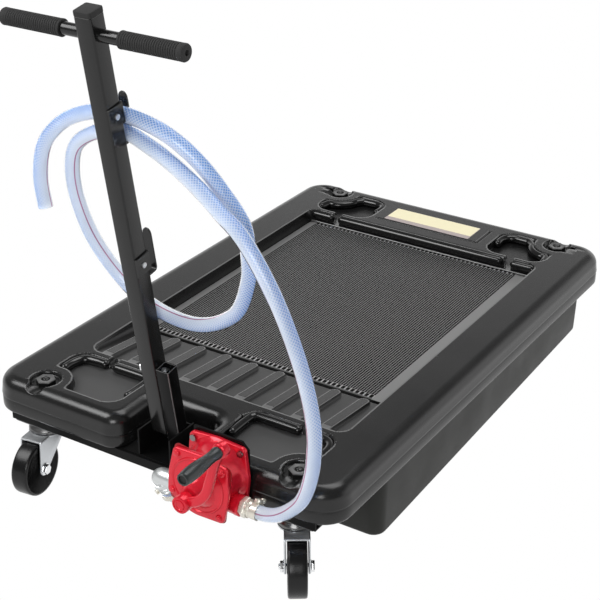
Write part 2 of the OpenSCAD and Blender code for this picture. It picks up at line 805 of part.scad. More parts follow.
module mast_cap() {
    h = mast_s / 2;
    color("#101010") mast_frame() {
        translate([mast_x, 0, mast_up]) linear_extrude(cap_h) polygon(round_box(-h, -h, h, h, 4));
        block(mast_l + mast_t, -h + mast_t, mast_up - 12, mast_r - mast_t, h - mast_t, mast_up);
    }
}

module cross_bar() {
    color("#1d1d1d") mast_frame() difference() {
        rod_x(mast_x - bar_l / 2, 0, bar_up, bar_r, bar_l);
        rod_x(mast_x - bar_l, 0, bar_up, bar_r - 2, 2 * bar_l);
    }
}

// Ribbed rubber grip with a closed, pierced end, its open end at x = 0
module bar_grip() {
    end_t = 4;
    pitch = bar_grip_l / (bar_grip_n + 2);
    difference() {
        rotate([0, 90, 0]) cylinder(r = bar_grip_r, h = bar_grip_l + end_t);
        rod_x(-over, 0, 0, bar_r + run_gap, bar_grip_l + over);
        rod_x(0, 0, 0, 4, 2 * bar_grip_l);
        for (i = [1:bar_grip_n]) rotate([0, 90, 0]) translate([0, 0, (i + 0.5) * pitch]) difference() {
            cylinder(r = bar_grip_r + over, h = 2.5);
            translate([0, 0, -over]) cylinder(r = bar_grip_r - 1, h = 5);
        }
    }
}

module bar_grip_left() {
    color("#121212") mast_frame() translate([mast_x - bar_l / 2 + bar_grip_l, 0, bar_up])
        rotate([0, 0, 180]) bar_grip();
}

module bar_grip_right() {
    color("#121212") mast_frame() translate([mast_x + bar_l / 2 - bar_grip_l, 0, bar_up]) bar_grip();
}

hook_screw_r = 2;
hook_up_cheek_z = hook_up_z + hook_up_cheek;
hook_low_cheek_z = hook_low_z + hook_low_cheek;
hook_screw_zs = [hook_up_cheek_z + cheek_l / 2, hook_low_cheek_z + cheek_l / 2];

// J-shaped hook behind the mast: floor, upright finger, back plate and a cheek on the mast's right side
module hook(z, finger_h, cheek_z) {
    y0 = mast_s / 2;
    y1 = y0 + 2 * hook_t + hook_gap;
    x0 = mast_l + hook_in;
    x1 = x0 + hook_w;
    round = 6;
    difference() {
        union() {
            block(x0, y0, z, x1, y1, z + hook_t);
            block(x0, y0, z, x1, y0 + hook_t, cheek_z + cheek_l);
            block(x0, y0, cheek_z, mast_r + hook_t, y0 + hook_t, cheek_z + cheek_l);
            block(mast_r, -y0, cheek_z, mast_r + hook_t, y0 + hook_t, cheek_z + cheek_l);
            translate([0, y1, z]) rotate([90, 0, 0]) linear_extrude(hook_t)
                polygon(concat([[x0, 0], [x1, 0]], arc(x1 - round, finger_h - round, round, 0, 90),
                    arc(x0 + round, finger_h - round, round, 90, 180)));
        }
        rod_x(mast_r - over, 0, cheek_z + cheek_l / 2, hook_screw_r + bolt_gap, hook_t + 2 * over);
    }
}

module hook_upper() { color("#161616") mast_frame() hook(hook_up_z, hook_up_h, hook_up_cheek_z); }
module hook_lower() { color("#161616") mast_frame() hook(hook_low_z, hook_low_h, hook_low_cheek_z); }

module hook_screws() {
    color("#a9abad") mast_frame() for (z = hook_screw_zs) {
        rod_x(mast_r + hook_t, 0, z, 2.2 * hook_screw_r, 2);
        rod_x(mast_r - mast_t - 2, 0, z, hook_screw_r, mast_t + hook_t + 3);
    }
}

bracket_bolt_xs = [pump_x - 40, pump_x + 20];

// Pump bracket: upright plate with a cut corner and a foot under the cross tube
module pump_bracket() {
    x0 = pump_x - flange_s + 4;
    x1 = pump_x + flange_s;
    top = pump_z + flange_s + plate_margin;
    cut = 12;
    foot_x1 = pump_x + 34;
    foot_rise = 20;
    side_rise = 50;
    color("#151515") tank_frame() difference() {
        union() {
            translate([0, -pump_y, 0]) rotate([90, 0, 0]) linear_extrude(plate_t)
                polygon([[x0, caster_h - plate_t], [foot_x1, caster_h - plate_t],
                    [foot_x1, caster_h + foot_rise], [x1, caster_h + side_rise], [x1, top - cut],
                    [x1 - cut, top], [x0, top]]);
            block(x0, -pump_y - plate_t, caster_h - plate_t, foot_x1, -bolt_y + tube_w / 4, caster_h);
        }
        for (x = bracket_bolt_xs)
            rod_z(x, -bolt_y, caster_h - 2 * plate_t, plate_bolt_r + 1 + bolt_gap, 3 * plate_t);
        for (sx = [-1, 1], sz = [-1, 1])
            rod_y(pump_x + sx * screw_d, -pump_y - 2 * plate_t, pump_z + sz * screw_d, screw_r + bolt_gap,
                3 * plate_t);
    }
}

module bracket_bolts() {
    color("#8d8f92") tank_frame() for (x = bracket_bolt_xs) {
        hex_z(x, -bolt_y, caster_h - plate_t - head_t, 1.8 * plate_bolt_r + 2, head_t);
        rod_z(x, -bolt_y, caster_h - plate_t - over, plate_bolt_r + 1, plate_t + tube_t + 6);
    }
}

// Flange and cover screws: their radius and half spacing
screw_r = 3;
screw_d = 44;

// Outline shared by the flange, the gasket and the cover: a round-cornered square
module flange_plate(t) {
    linear_extrude(t) polygon(round_box(-flange_s, -flange_s, flange_s, flange_s, flange_corner));
}

// Each of the four screws of the flange or of the cover
module at_screws() {
    for (sx = [-1, 1], sy = [-1, 1]) translate([sx * screw_d, sy * screw_d, 0]) children();
}

// Stands a shape modelled along +Z on the pump's axis at station y, pointing to -Y
module on_pump(y) { tank_frame() translate([pump_x, y, pump_z]) rotate([90, 0, 0]) children(); }

// The same on the shaft, which lies off the middle of the body
module on_shaft(y) { on_pump(y) translate([shaft_dx, -shaft_drop, 0]) children(); }

// Pump body: rear flange, round barrel and two ports, bored for the rotor
module pump_body() {
    wall = 10;
    color("#d3131f") difference() {
        union() {
            on_pump(plate_face) flange_plate(flange_t);
            on_pump(plate_face) cylinder(r = body_r, h = flange_t + body_l);
            on_pump(body_face + lip_t) rotate([0, 0, -cover_turn]) flange_plate(lip_t);
            tank_frame() rod_x(pump_x - port_reach, port_y, port_z, port_r, 2 * port_reach);
        }
        on_pump(plate_face - wall) cylinder(r = chamber_r, h = flange_t + body_l);
        tank_frame() rod_x(pump_x - 2 * port_reach, port_y, port_z, port_bore_r, 4 * port_reach);
        on_pump(plate_face + over) at_screws() cylinder(r = screw_r + bolt_gap, h = flange_t + 2 * over);
        on_pump(body_face + lip_t + over) rotate([0, 0, -cover_turn]) at_screws()
            cylinder(r = screw_r + bolt_gap, h = lip_t + 2 * over);
    }
}

module flange_screws() {
    color("#c9cacb") on_pump(flange_face) at_screws() {
        cylinder(r = 1.8 * screw_r, h = 3.5);
        translate([0, 0, -flange_t - plate_t - 1]) cylinder(r = screw_r, h = flange_t + plate_t + 2);
    }
}

module gasket() {
    color("#303030") on_pump(body_face) difference() {
        rotate([0, 0, -cover_turn]) flange_plate(gasket_t);
        translate([0, 0, -over]) rotate([0, 0, -cover_turn]) at_screws()
            cylinder(r = screw_r + bolt_gap, h = gasket_t + 2 * over);
        translate([0, 0, -over]) cylinder(r = chamber_r, h = gasket_t + 2 * over);
    }
}

// Rotor with four vane slots, on the pump's shaft
module rotor() {
    back = plate_face - 10 - rotor_gap;
    l = back - body_face - rotor_gap;
    rotor_r = chamber_r - sqrt(shaft_dx * shaft_dx + shaft_drop * shaft_drop) - rotor_gap;
    core_r = shaft_r + 3;
    blade_t = 4;
    color("#9a9c9e") on_shaft(back) {
        difference() {
            cylinder(r = rotor_r, h = l);
            for (a = [0, 90, 180, 270]) rotate([0, 0, a]) translate([core_r, -blade_t / 2, -over])
                cube([chamber_r, blade_t, l + 2 * over]);
        }
        translate([0, 0, l / 2]) cylinder(r = shaft_r, h = back - hub_face - 6 - l / 2);
    }
}

// Front cover: square plate, raised disc and the bearing boss of the shaft
module pump_cover() {
    boss_r = 17;
    color("#d3131f") difference() {
        union() {
            on_pump(cover_back) {
                rotate([0, 0, -cover_turn]) flange_plate(cover_t);
                cylinder(r = flange_s - 6, h = cover_t + disc_t);
            }
            on_shaft(cover_back) cylinder(r = boss_r, h = cover_t + disc_t + boss_l);
        }
        on_shaft(cover_back + over) cylinder(r = shaft_r + run_gap, h = cover_t + disc_t + boss_l + 2 * over);
        on_pump(cover_back + over) rotate([0, 0, -cover_turn]) at_screws()
            cylinder(r = screw_r + bolt_gap, h = cover_t + 2 * over);
    }
}

module cover_screws() {
    color("#c0101b") on_pump(cover_back) rotate([0, 0, -cover_turn]) at_screws() {
        translate([0, 0, cover_t]) cylinder(r = 1.8 * screw_r, h = 2.5);
        translate([0, 0, -gasket_t - lip_t]) cylinder(r = screw_r, h = cover_t + gasket_t + lip_t + 1);
    }
}

// Crank arm: hub, bowed arm and the lug of the grip
arm_chord = sqrt(crank_dx * crank_dx + crank_dz * crank_dz);
arm_bend = (arm_chord * arm_chord / 4 + crank_bow * crank_bow) / (2 * crank_bow);
arm_half = asin(arm_chord / 2 / arm_bend);
lug_r = 12;

module crank_arm() {
    color("#d3131f") difference() {
        union() {
            on_shaft(hub_back) cylinder(r = hub_r, h = hub_l);
            on_shaft(arm_back) {
                rotate([0, 0, atan2(crank_dz, crank_dx) - 90])
                    translate([-arm_bend + crank_bow, arm_chord / 2, 0])
                    rotate([0, 0, -arm_half]) rotate_extrude(angle = 2 * arm_half)
                    translate([arm_bend - arm_w / 2, 0]) square([arm_w, arm_t]);
                translate([crank_dx, crank_dz, 0]) cylinder(r = lug_r, h = arm_t + 3);
            }
        }
        on_shaft(hub_back + over) cylinder(r = shaft_r + run_gap, h = hub_l - 6 + over);
        on_shaft(hub_back) cylinder(r = screw_r + bolt_gap, h = hub_l + over);
        on_shaft(arm_back + over) translate([crank_dx, crank_dz, 0])
            cylinder(r = spindle_r + run_gap, h = arm_t + 3 + 2 * over);
    }
}

module hub_screw() {
    color("#b01019") on_shaft(hub_face) {
        cylinder(r = 1.8 * screw_r, h = 3);
        translate([0, 0, -6 + rotor_gap]) cylinder(r = screw_r, h = 6);
    }
}

// Spindle of the grip, riveted in the lug, with a head that keeps the grip on
module grip_spindle() {
    head = 3;
    color("#b9bbbd") on_shaft(arm_back) translate([crank_dx, crank_dz, 0]) {
        cylinder(r = spindle_r, h = arm_back - grip_face - head);
        translate([0, 0, arm_back - grip_face - head - head]) cylinder(r = spindle_r + 2, h = head);
    }
}

// Loose grip: swollen in the middle, open at its end over the spindle's head
module crank_grip() {
    head = 6.3;
    l = grip_seat - grip_face;
    color("#2f3433") on_shaft(grip_seat - 0.4) translate([crank_dx, crank_dz, 0]) difference() {
        rotate_extrude() polygon([[0, 0], [0.8 * grip_r, 0], [0.88 * grip_r, 0.04 * l],
            [0.76 * grip_r, 0.2 * l], [0.84 * grip_r, 0.4 * l], [grip_r, 0.62 * l], [0.98 * grip_r, 0.82 * l],
            [0.86 * grip_r, 0.96 * l], [0.76 * grip_r, l - 0.4], [0, l - 0.4]]);
        translate([0, 0, -over]) cylinder(r = spindle_r + run_gap, h = l + 2 * over);
        translate([0, 0, l - 0.4 - head]) cylinder(r = spindle_r + 2.3, h = head + over);
    }
}

module outlet_barb() {
    x = pump_x + port_reach;
    color("#d9d6cd") tank_frame() difference() {
        union() {
            hex_x(x, port_y, port_z, port_r, barb_hex_l);
            rod_x(x + over, port_y, port_z, hose_r - 0.5, barb_l - over);
        }
        rod_x(x - over, port_y, port_z, hose_bore_r - 2, barb_l + 2 * over);
    }
}

// Inlet elbow: from the port to a leg that points down and back under the deck
module inlet_elbow() {
    r = port_r - 3;
    color("#bfc3c4") tank_frame() {
        rod_x(elbow_x, port_y, port_z, r, pump_x - port_reach - elbow_x);
        translate([elbow_x, port_y, port_z]) {
            sphere(r = r + 1);
            rotate([180 - elbow_tilt, 0, 0]) {
                cylinder(r = r - 1, h = elbow_leg - 18);
                cylinder(r = hose_r - 1, h = elbow_leg);
            }
        }
    }
}

module sump_spigot() {
    flange = 17;
    color("#b8bbbd") tank_frame() difference() {
        union() {
            rod_y(elbow_x, -sump_front - 4, suction_z, flange, 4);
            rod_y(elbow_x, -sump_front - spigot_l, suction_z, hose_r - 0.5, spigot_l);
            rod_y(elbow_x, -sump_front - over, suction_z, hose_bore_r + 1, sump_t + 3);
        }
        rod_y(elbow_x, -sump_front - 2 * spigot_l, suction_z, hose_bore_r - 2, 3 * spigot_l);
    }
}

// Worm clamp: a band with its screw housing, on an axis along +Z
module clamp(r) {
    band = 1.5;
    w = 10;
    difference() {
        union() {
            cylinder(r = r + band, h = w);
            translate([r, -6, 1]) cube([6, 12, w - 2]);
        }
        translate([0, 0, -over]) cylinder(r = r + 0.3, h = w + 2 * over);
    }
    translate([r + 3.5, -12, w / 2]) rotate([-90, 0, 0]) cylinder(r = 2.5, h = 7);
}

module hose_clamps() {
    color("#d5d3cb") tank_frame() {
        translate([hose_start_x + 2, port_y, port_z]) rotate([0, 90, 0]) rotate([0, 0, 150]) clamp(hose_r);
        translate([elbow_x, -sump_front - spigot_l - 12, suction_z]) rotate([-90, 0, 0]) clamp(hose_r);
    }
}

// Smooth curve through a list of points: the point at step k of hose_steps after point i
function knot(p, i) = p[min(max(i, 0), len(p) - 1)];
function spline(p, i, u) =
    let (a = knot(p, i - 1), b = knot(p, i), c = knot(p, i + 1), d = knot(p, i + 2))
    0.5 * (2 * b + (c - a) * u + (2 * a - 5 * b + 4 * c - d) * u * u + (3 * b - a - 3 * c + d) * u * u * u);
function unit(v) = v / norm(v);

// A round tube swept along a list of points
module swept(path, r, ring) {
    n = len(path);
    points = [for (i = [0:n - 1])
        let (t = unit(path[min(i + 1, n - 1)] - path[max(i - 1, 0)]),
            side = unit(cross(t, [0.001, 1, 0.002])), up = cross(side, t))
        for (j = [0:ring - 1]) let (a = 360 * j / ring) path[i] + r * (cos(a) * side + sin(a) * up)];
    faces = concat(
        [[for (j = [0:ring - 1]) j]],
        [for (i = [0:n - 2], j = [0:ring - 1])
            let (a = i * ring + j, b = i * ring + (j + 1) % ring) [a, a + ring, b]],
        [for (i = [0:n - 2], j = [0:ring - 1])
            let (a = i * ring + j, b = i * ring + (j + 1) % ring) [b, a + ring, b + ring]],
        [[for (j = [ring - 1:-1:0]) (n - 1) * ring + j]]);
    polyhedron(points, faces);
}

module hose() {
    path = concat(
        [for (i = [0:len(HOSE) - 2], k = [0:hose_steps - 1]) spline(HOSE, i, k / hose_steps)],
        [HOSE[len(HOSE) - 1]]);
    color("#b9cdf0") tank_frame() swept(path, hose_r, hose_sides);
}

// Suction hose: one bend from the elbow's leg, then straight to the sump's spigot
module suction_hose() {
    bend = [for (k = [0:hose_sides]) let (a = suction_turn * (1 - k / hose_sides))
        [elbow_x, suction_y - suction_bend * sin(a), suction_z + suction_bend * (1 - cos(a))]];
    path = concat(bend, [[elbow_x, -sump_front - spigot_l, suction_z]]);
    color("#a9bfe0") tank_frame() rotate([0, 0, 90])
        swept([for (p = path) [p[1], -p[0], p[2]]], hose_r, hose_sides);
}

// Top plate, raceway and kingpin of a front caster, in the caster's own place
crown_z = caster_h - caster_plate_t - race_h;
crown_t = 4;

module caster_plate() {
    difference() {
        union() {
            slab(-caster_plate_x, -caster_plate_y, caster_plate_x, caster_plate_y, plate_corner,
                caster_h - caster_plate_t, caster_h);
            rod_z(0, 0, crown_z, race_r, caster_h - crown_z - over);
            rod_z(0, 0, crown_z - crown_t - 5, kingpin_r, 12);
            rod_z(0, 0, crown_z - crown_t - 5, 1.6 * kingpin_r, 4.5);
        }
        for (s = [-1, 1]) rod_z(s * plate_bolt_x, 0, caster_h - 2 * caster_plate_t,
            plate_bolt_r + bolt_gap, 3 * caster_plate_t);
    }
}

module caster_plates() {
    color("#b4b8ba") for (s = [-1, 1]) at_caster(s, 0) caster_plate();
}

// One side of a fork, from the crown at z to the axle, trailing along +X
module fork_leg(lead, z) {
    translate([0, fork_t / 2, 0]) rotate([90, 0, 0]) linear_extrude(fork_t) polygon(concat(
        [[-fork_back, z], [fork_front, z]], arc(lead, wheel_r, leg_r, 20, -160),
        [[-fork_back, z - leg_drop]]));
}

// Fork of a front caster: crown, two legs, holes for kingpin and axle
module front_fork() {
    y = wheel_w / 2 + fork_gap + fork_t / 2;
    top = crown_z - 0.4;
    difference() {
        union() {
            rod_z(0, 0, top - crown_t, race_r + 2, crown_t);
            block(-fork_back, -y - fork_t / 2, top - crown_t, fork_front, y + fork_t / 2, top);
            for (s = [-1, 1]) translate([0, s * y, 0]) fork_leg(trail, top);
        }
        rod_z(0, 0, top - 2 * crown_t, kingpin_r + run_gap, 3 * crown_t);
        rod_y(trail, -wheel_w, wheel_r, axle_r + run_gap, 2 * wheel_w);
    }
}

// Places a front caster's moving pieces
module at_caster(s, turn) {
    tank_frame() translate([s * bolt_x, -bolt_y - caster_ahead, 0]) rotate([0, 0, turn]) children();
}

module fork_left() { color("#c3c7c9") at_caster(-1, swivel_left) front_fork(); }
module fork_right() { color("#c3c7c9") at_caster(1, swivel_right) front_fork(); }

// Axle bolt with its head and nut outside the fork
module axle() {
    y = wheel_w / 2 + fork_gap + fork_t;
    translate([0, 0, wheel_r]) {
        rod_y(0, -y - 1, 0, axle_r, 2 * y + 8);
        hex_y(0, -y - head_t, 0, 1.8 * axle_r, head_t);
        hex_y(0, y, 0, 1.8 * axle_r, nut_t - 2);
    }
}

module axle_left() { color("#d4d6d8") at_caster(-1, swivel_left) translate([trail, 0, 0]) axle(); }
module axle_right() { color("#d4d6d8") at_caster(1, swivel_right) translate([trail, 0, 0]) axle(); }

// Wheel: tyre with round shoulders and a hub as wide as the fork allows
module wheel() {
    w = wheel_w / 2;
    hub_w = w + fork_gap - 0.4;
    dish = w - wheel_dish;
    foot = wheel_r - tyre_h;
    translate([0, 0, wheel_r]) rotate([90, 0, 0]) rotate_extrude() polygon(concat(
        [[axle_r + run_gap, -hub_w], [wheel_hub_r, -hub_w], [wheel_hub_r, -dish], [foot, -dish],
            [foot + 2, -w]],
        arc(wheel_r - tyre_r, -w + tyre_r, tyre_r, -90, 0), arc(wheel_r - tyre_r, w - tyre_r, tyre_r, 0, 90),
        [[foot + 2, w], [foot, dish], [wheel_hub_r, dish], [wheel_hub_r, hub_w], [axle_r + run_gap, hub_w]]));
}

module wheel_left() { color("#1b1b1b") at_caster(-1, swivel_left) translate([trail, 0, 0]) wheel(); }
module wheel_right() { color("#1b1b1b") at_caster(1, swivel_right) translate([trail, 0, 0]) wheel(); }

// Rigid rear casters, rolling along Y
module at_rear(s) { tank_frame() translate([s * bolt_x, bolt_y, 0]) rotate([0, 0, 90]) children(); }

module rear_fork() {
    y = wheel_w / 2 + fork_gap + fork_t / 2;
    top = caster_h;
    difference() {
        union() {
            slab(-caster_plate_y, -caster_plate_x, caster_plate_y, caster_plate_x, plate_corner,
                top - caster_plate_t, top);
            for (s = [-1, 1]) translate([0, s * y, 0]) fork_leg(rear_lead, top - over);
        }
        rod_y(rear_lead, -wheel_w, wheel_r, axle_r + run_gap, 2 * wheel_w);
        for (s = [-1, 1])
            rod_z(0, s * plate_bolt_x, top - 2 * caster_plate_t, plate_bolt_r + bolt_gap, 3 * caster_plate_t);
    }
}

// Bolts that hold each caster's plate to its cross tube
module caster_bolts() {
    color("#a9abad") tank_frame() at_plate_bolts() {
        hex_z(0, 0, caster_h - caster_plate_t - 4, 1.8 * plate_bolt_r, 4);
        rod_z(0, 0, caster_h - caster_plate_t - over, plate_bolt_r, caster_plate_t + tube_t + 4);
    }
}

module rear_forks() { color("#c3c7c9") for (s = [-1, 1]) at_rear(s) rear_fork(); }
module rear_axles() { color("#d4d6d8") for (s = [-1, 1]) at_rear(s) translate([rear_lead, 0, 0]) axle(); }
module rear_wheel_left() { color("#1b1b1b") at_rear(-1) translate([rear_lead, 0, 0]) wheel(); }
module rear_wheel_right() { color("#1b1b1b") at_rear(1) translate([rear_lead, 0, 0]) wheel(); }

deck();
sump_tub();
strainer_grate();
label_plate();
corner_bolts();
corner_nuts();
front_cross_tube();
rear_cross_tube();
foot_bracket();
foot_bolts();
post();
pivot_bolt();
pivot_nut();
mast_tube();
mast_cap();
cross_bar();
bar_grip_left();
bar_grip_right();
hook_upper();
hook_lower();
hook_screws();
pump_bracket();
bracket_bolts();
pump_body();
flange_screws();
gasket();
rotor();
pump_cover();
cover_screws();
crank_arm();
hub_screw();
grip_spindle();
crank_grip();
outlet_barb();
inlet_elbow();
sump_spigot();
suction_hose();
hose_clamps();
hose();
caster_plates();
fork_left();
fork_right();
axle_left();
axle_right();
wheel_left();
wheel_right();
rear_forks();
rear_axles();
rear_wheel_left();
rear_wheel_right();
caster_bolts();
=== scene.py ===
"""Looks of a rolling oil drain pan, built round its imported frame.

Shapes are made in millimetres in the tank's own frame (origin on the floor under the middle of the
deck, +Z up, -Y the handle end) and moved to the part's frame, in metres, when a piece is added.
"""

import logging
import math
from dataclasses import dataclass, field
from enum import Enum
from typing import Callable, Optional, Sequence

import bmesh
import bpy
import numpy as np
from mathutils import Matrix, Vector

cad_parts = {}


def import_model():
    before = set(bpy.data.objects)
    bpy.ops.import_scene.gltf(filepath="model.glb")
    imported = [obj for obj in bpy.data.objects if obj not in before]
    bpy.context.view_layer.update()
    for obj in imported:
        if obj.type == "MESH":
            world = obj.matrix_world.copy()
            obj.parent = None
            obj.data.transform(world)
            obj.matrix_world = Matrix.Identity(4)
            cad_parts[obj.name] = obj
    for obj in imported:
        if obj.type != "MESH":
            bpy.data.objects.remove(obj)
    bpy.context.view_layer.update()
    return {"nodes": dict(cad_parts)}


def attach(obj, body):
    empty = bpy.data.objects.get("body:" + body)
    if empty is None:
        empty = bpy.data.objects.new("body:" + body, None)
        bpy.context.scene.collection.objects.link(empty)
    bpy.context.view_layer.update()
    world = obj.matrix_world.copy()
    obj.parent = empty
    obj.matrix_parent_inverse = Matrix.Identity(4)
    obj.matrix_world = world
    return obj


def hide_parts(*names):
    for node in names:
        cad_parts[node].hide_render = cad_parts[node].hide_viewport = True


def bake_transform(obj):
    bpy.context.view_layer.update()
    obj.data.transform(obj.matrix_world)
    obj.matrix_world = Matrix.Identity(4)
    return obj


LOG = logging.getLogger("drain_pan")
Array = np.ndarray
Point = tuple[float, float, float]
Colour = tuple[float, float, float]
Span = tuple[float, float]
Socket = bpy.types.NodeSocket

# Millimetres in metres, and the angles from which an edge is shaded sharp or softened.
MM = 0.001
CREASE, EDGE_ANGLE = math.radians(38), math.radians(35)
# Places in the tank's own frame, in millimetres.
TANK_CY = 99.0
DECK_Z = 196.0
BOLT_X, BOLT_Y = 255.0, 480.0
KINGPIN_Y, REAR_AXLE_Y = -488.0, 470.0
TRAIL, WHEEL_R = 42.0, 49.5
PORT_Y, PORT_Z = -556.0, 152.0
SUCTION_X, SUCTION_Z = 40.0, 78.2
ELBOW_DOWN = (0.0, 0.454, -0.891)
LIP_SLOPE = 0.18
POCKET_DEPTH, POCKET_R, BANK_R = 16.0, 32.0, 46.0
CHANNEL_DEPTH, CHANNEL_X = 13.0, (190.0, 207.0)
# Finishes: the slow wander of tone, and the hose's painted highlight band, braid and tracer in shares of a
# turn.
CLOUD_SCALE, CLOUD_SPAN = 14.0, (0.3, 0.7)
COAT_ROUGHNESS, BUMP_STRENGTH = 0.08, 0.5
SKIN_IOR, CORE_IOR, SEE_THROUGH = 1.02, 1.04, 0.38
WALL_SHARE, WALL_AT = 0.85, 0.53
BRAID_SHARE, BRAID_WIDTH = 0.58, 0.17
TRACER_AT, TRACER_TWIST, TRACER_WIDTH, TRACER_SHARE = 0.81, 0.105, 0.014, 0.8
# A direction that the long hose never runs along, and how square to an axis a flat side of the post is.
FLAT_REF, FLAT_SIDE = (0.001, 1.0, 0.002), 0.965
# Light of the room, overhead and low down behind the object, and where one goes over into the other.
SURROUND, HORIZON = 0.25, 1.2
GLOW_UP, GLOW_BACK = (0.18, 0.62), (-0.1, 0.5)


class Body(Enum):
    """CAD bodies that pieces ride on."""

    TANK = "tank"
    MAST = "mast"
    CRANK = "crank"
    GRIP = "grip"
    CASTER_LEFT = "caster_left"
    CASTER_RIGHT = "caster_right"
    WHEEL_FRONT_LEFT = "wheel_front_left"
    WHEEL_FRONT_RIGHT = "wheel_front_right"
    WHEEL_REAR_LEFT = "wheel_rear_left"
    WHEEL_REAR_RIGHT = "wheel_rear_right"


class Shade(Enum):
    """How a piece's faces are shaded."""

    SMOOTH = "smooth"
    CREASED = "creased"


def rgba(colour: Colour) -> tuple[float, float, float, float]:
    """Returns a colour with full opacity."""
    return (*colour, 1.0)


@dataclass
class Nodes:
    """A node tree, with short ways to fill it.

    Args:
        tree: The tree.
    """

    tree: bpy.types.NodeTree

    def feed(self, node: bpy.types.Node, inputs: dict[str | int, object]) -> None:
        """Sets some inputs of a node, or links them where the value is a socket.

        Args:
            node: The node.
            inputs: Values and sockets, by the input's name or number.
        """
        for key, value in inputs.items():
            if isinstance(value, Socket):
                self.tree.links.new(value, node.inputs[key])
            else:
                node.inputs[key].default_value = value

    def add(self, kind: str, inputs: dict[str | int, object], **settings: str) -> bpy.types.Node:
        """Adds a node.

        Args:
            kind: Its type, without the word that every shader node's type starts with.
            inputs: Values and sockets for its inputs.
            settings: Properties of the node itself.

        Returns:
            The node.
        """
        node = self.tree.nodes.new(f"ShaderNode{kind}")
        for name, value in settings.items():
            setattr(node, name, value)
        self.feed(node, inputs)
        return node

    def calc(self, kind: str, *values: float | Socket) -> Socket:
        """Returns the result of a sum on numbers and sockets."""
        return self.add("Math", dict(enumerate(values)), operation=kind).outputs[0]

    def mixed(self, share: Socket, below: object, above: object) -> Socket:
        """Returns a mix of two colours."""
        return self.add("Mix", {0: share, 6: below, 7: above}, data_type="RGBA").outputs[2]

    def ranged(self, value: Socket, span: Span, to: Span, shape: str = "LINEAR") -> Socket:
        """Returns a value taken from one range to another."""
        inputs = {"Value": value}
        inputs |= {"From Min": span[0], "From Max": span[1], "To Min": to[0], "To Max": to[1]}
        return self.add("MapRange", inputs, interpolation_type=shape).outputs["Result"]


@dataclass(frozen=True)
class Finish:
    """A procedural finish.

    Args:
        name: Material name.
        base: Linear base colour.
        roughness: Middle of the roughness range.
        metallic: Metallic share.
        coat: Clear coat weight.
        specular: Specular level.
        grain: Scale of the fine bump per metre, 0 for none, and its depth in metres.
        mottle: How much roughness and colour wander, 0 to 1.
    """

    name: str
    base: Colour
    roughness: float
    metallic: float = 0.0
    coat: float = 0.0
    specular: float = 0.5
    grain: Span = (0.0, 0.0)
    mottle: float = 0.1

    def material(self) -> bpy.types.Material:
        """Makes the material once and returns it.

        Returns:
            The Blender material of this finish.
        """
        found = bpy.data.materials.get(self.name)
        if found is not None:
            return found
        mat = bpy.data.materials.new(self.name)
        mat.use_nodes = True
        mat.diffuse_color = rgba(self.base)
        nodes, shader = Nodes(mat.node_tree), mat.node_tree.nodes["Principled BSDF"]
        nodes.feed(shader, {
            "Base Color": rgba(self.base), "Roughness": self.roughness, "Metallic": self.metallic,
            "Coat Weight": self.coat, "Coat Roughness": COAT_ROUGHNESS,
            "Specular IOR Level": self.specular,
        })
        self.details(nodes, shader)
        return mat

    def details(self, nodes: Nodes, shader: bpy.types.Node) -> None:
        """Adds the wandering tone and the fine grain.

        Args:
            nodes: The material's nodes.
            shader: Its principled shader.
        """
        place = nodes.add("TexCoord", {}).outputs["Object"]
        cloud = nodes.add("TexNoise", {"Vector": place, "Scale": CLOUD_SCALE, "Detail": 5.0}).outputs["Fac"]
        least, most = 1.0 - self.mottle, 1.0 + self.mottle
        rough = nodes.ranged(cloud, CLOUD_SPAN, (self.roughness * least, min(1.0, self.roughness * most)))
        dark, light = (
            rgba(tuple(min(1.0, c * k) for c in self.base))
            for k in (1.0 - 0.5 * self.mottle, 1.0 + 0.5 * self.mottle)
        )
        nodes.feed(shader, {"Roughness": rough, "Base Color": nodes.mixed(cloud, dark, light)})
        scale, depth = self.grain
        if scale > 0.0:
            fine = nodes.add("TexNoise", {"Vector": place, "Scale": scale, "Detail": 2.0}).outputs["Fac"]
            rise = {"Strength": BUMP_STRENGTH, "Distance": depth, "Height": fine}
            nodes.feed(shader, {"Normal": nodes.add("Bump", rise).outputs["Normal"]})


@dataclass(frozen=True)
class ClearFinish(Finish):
    """Clear tinted plastic that lets what is under it show."""

    def details(self, nodes: Nodes, shader: bpy.types.Node) -> None:
        """Lets light through the skin."""
        super().details(nodes, shader)
        nodes.feed(shader, {"Transmission Weight": 1.0, "IOR": SKIN_IOR})


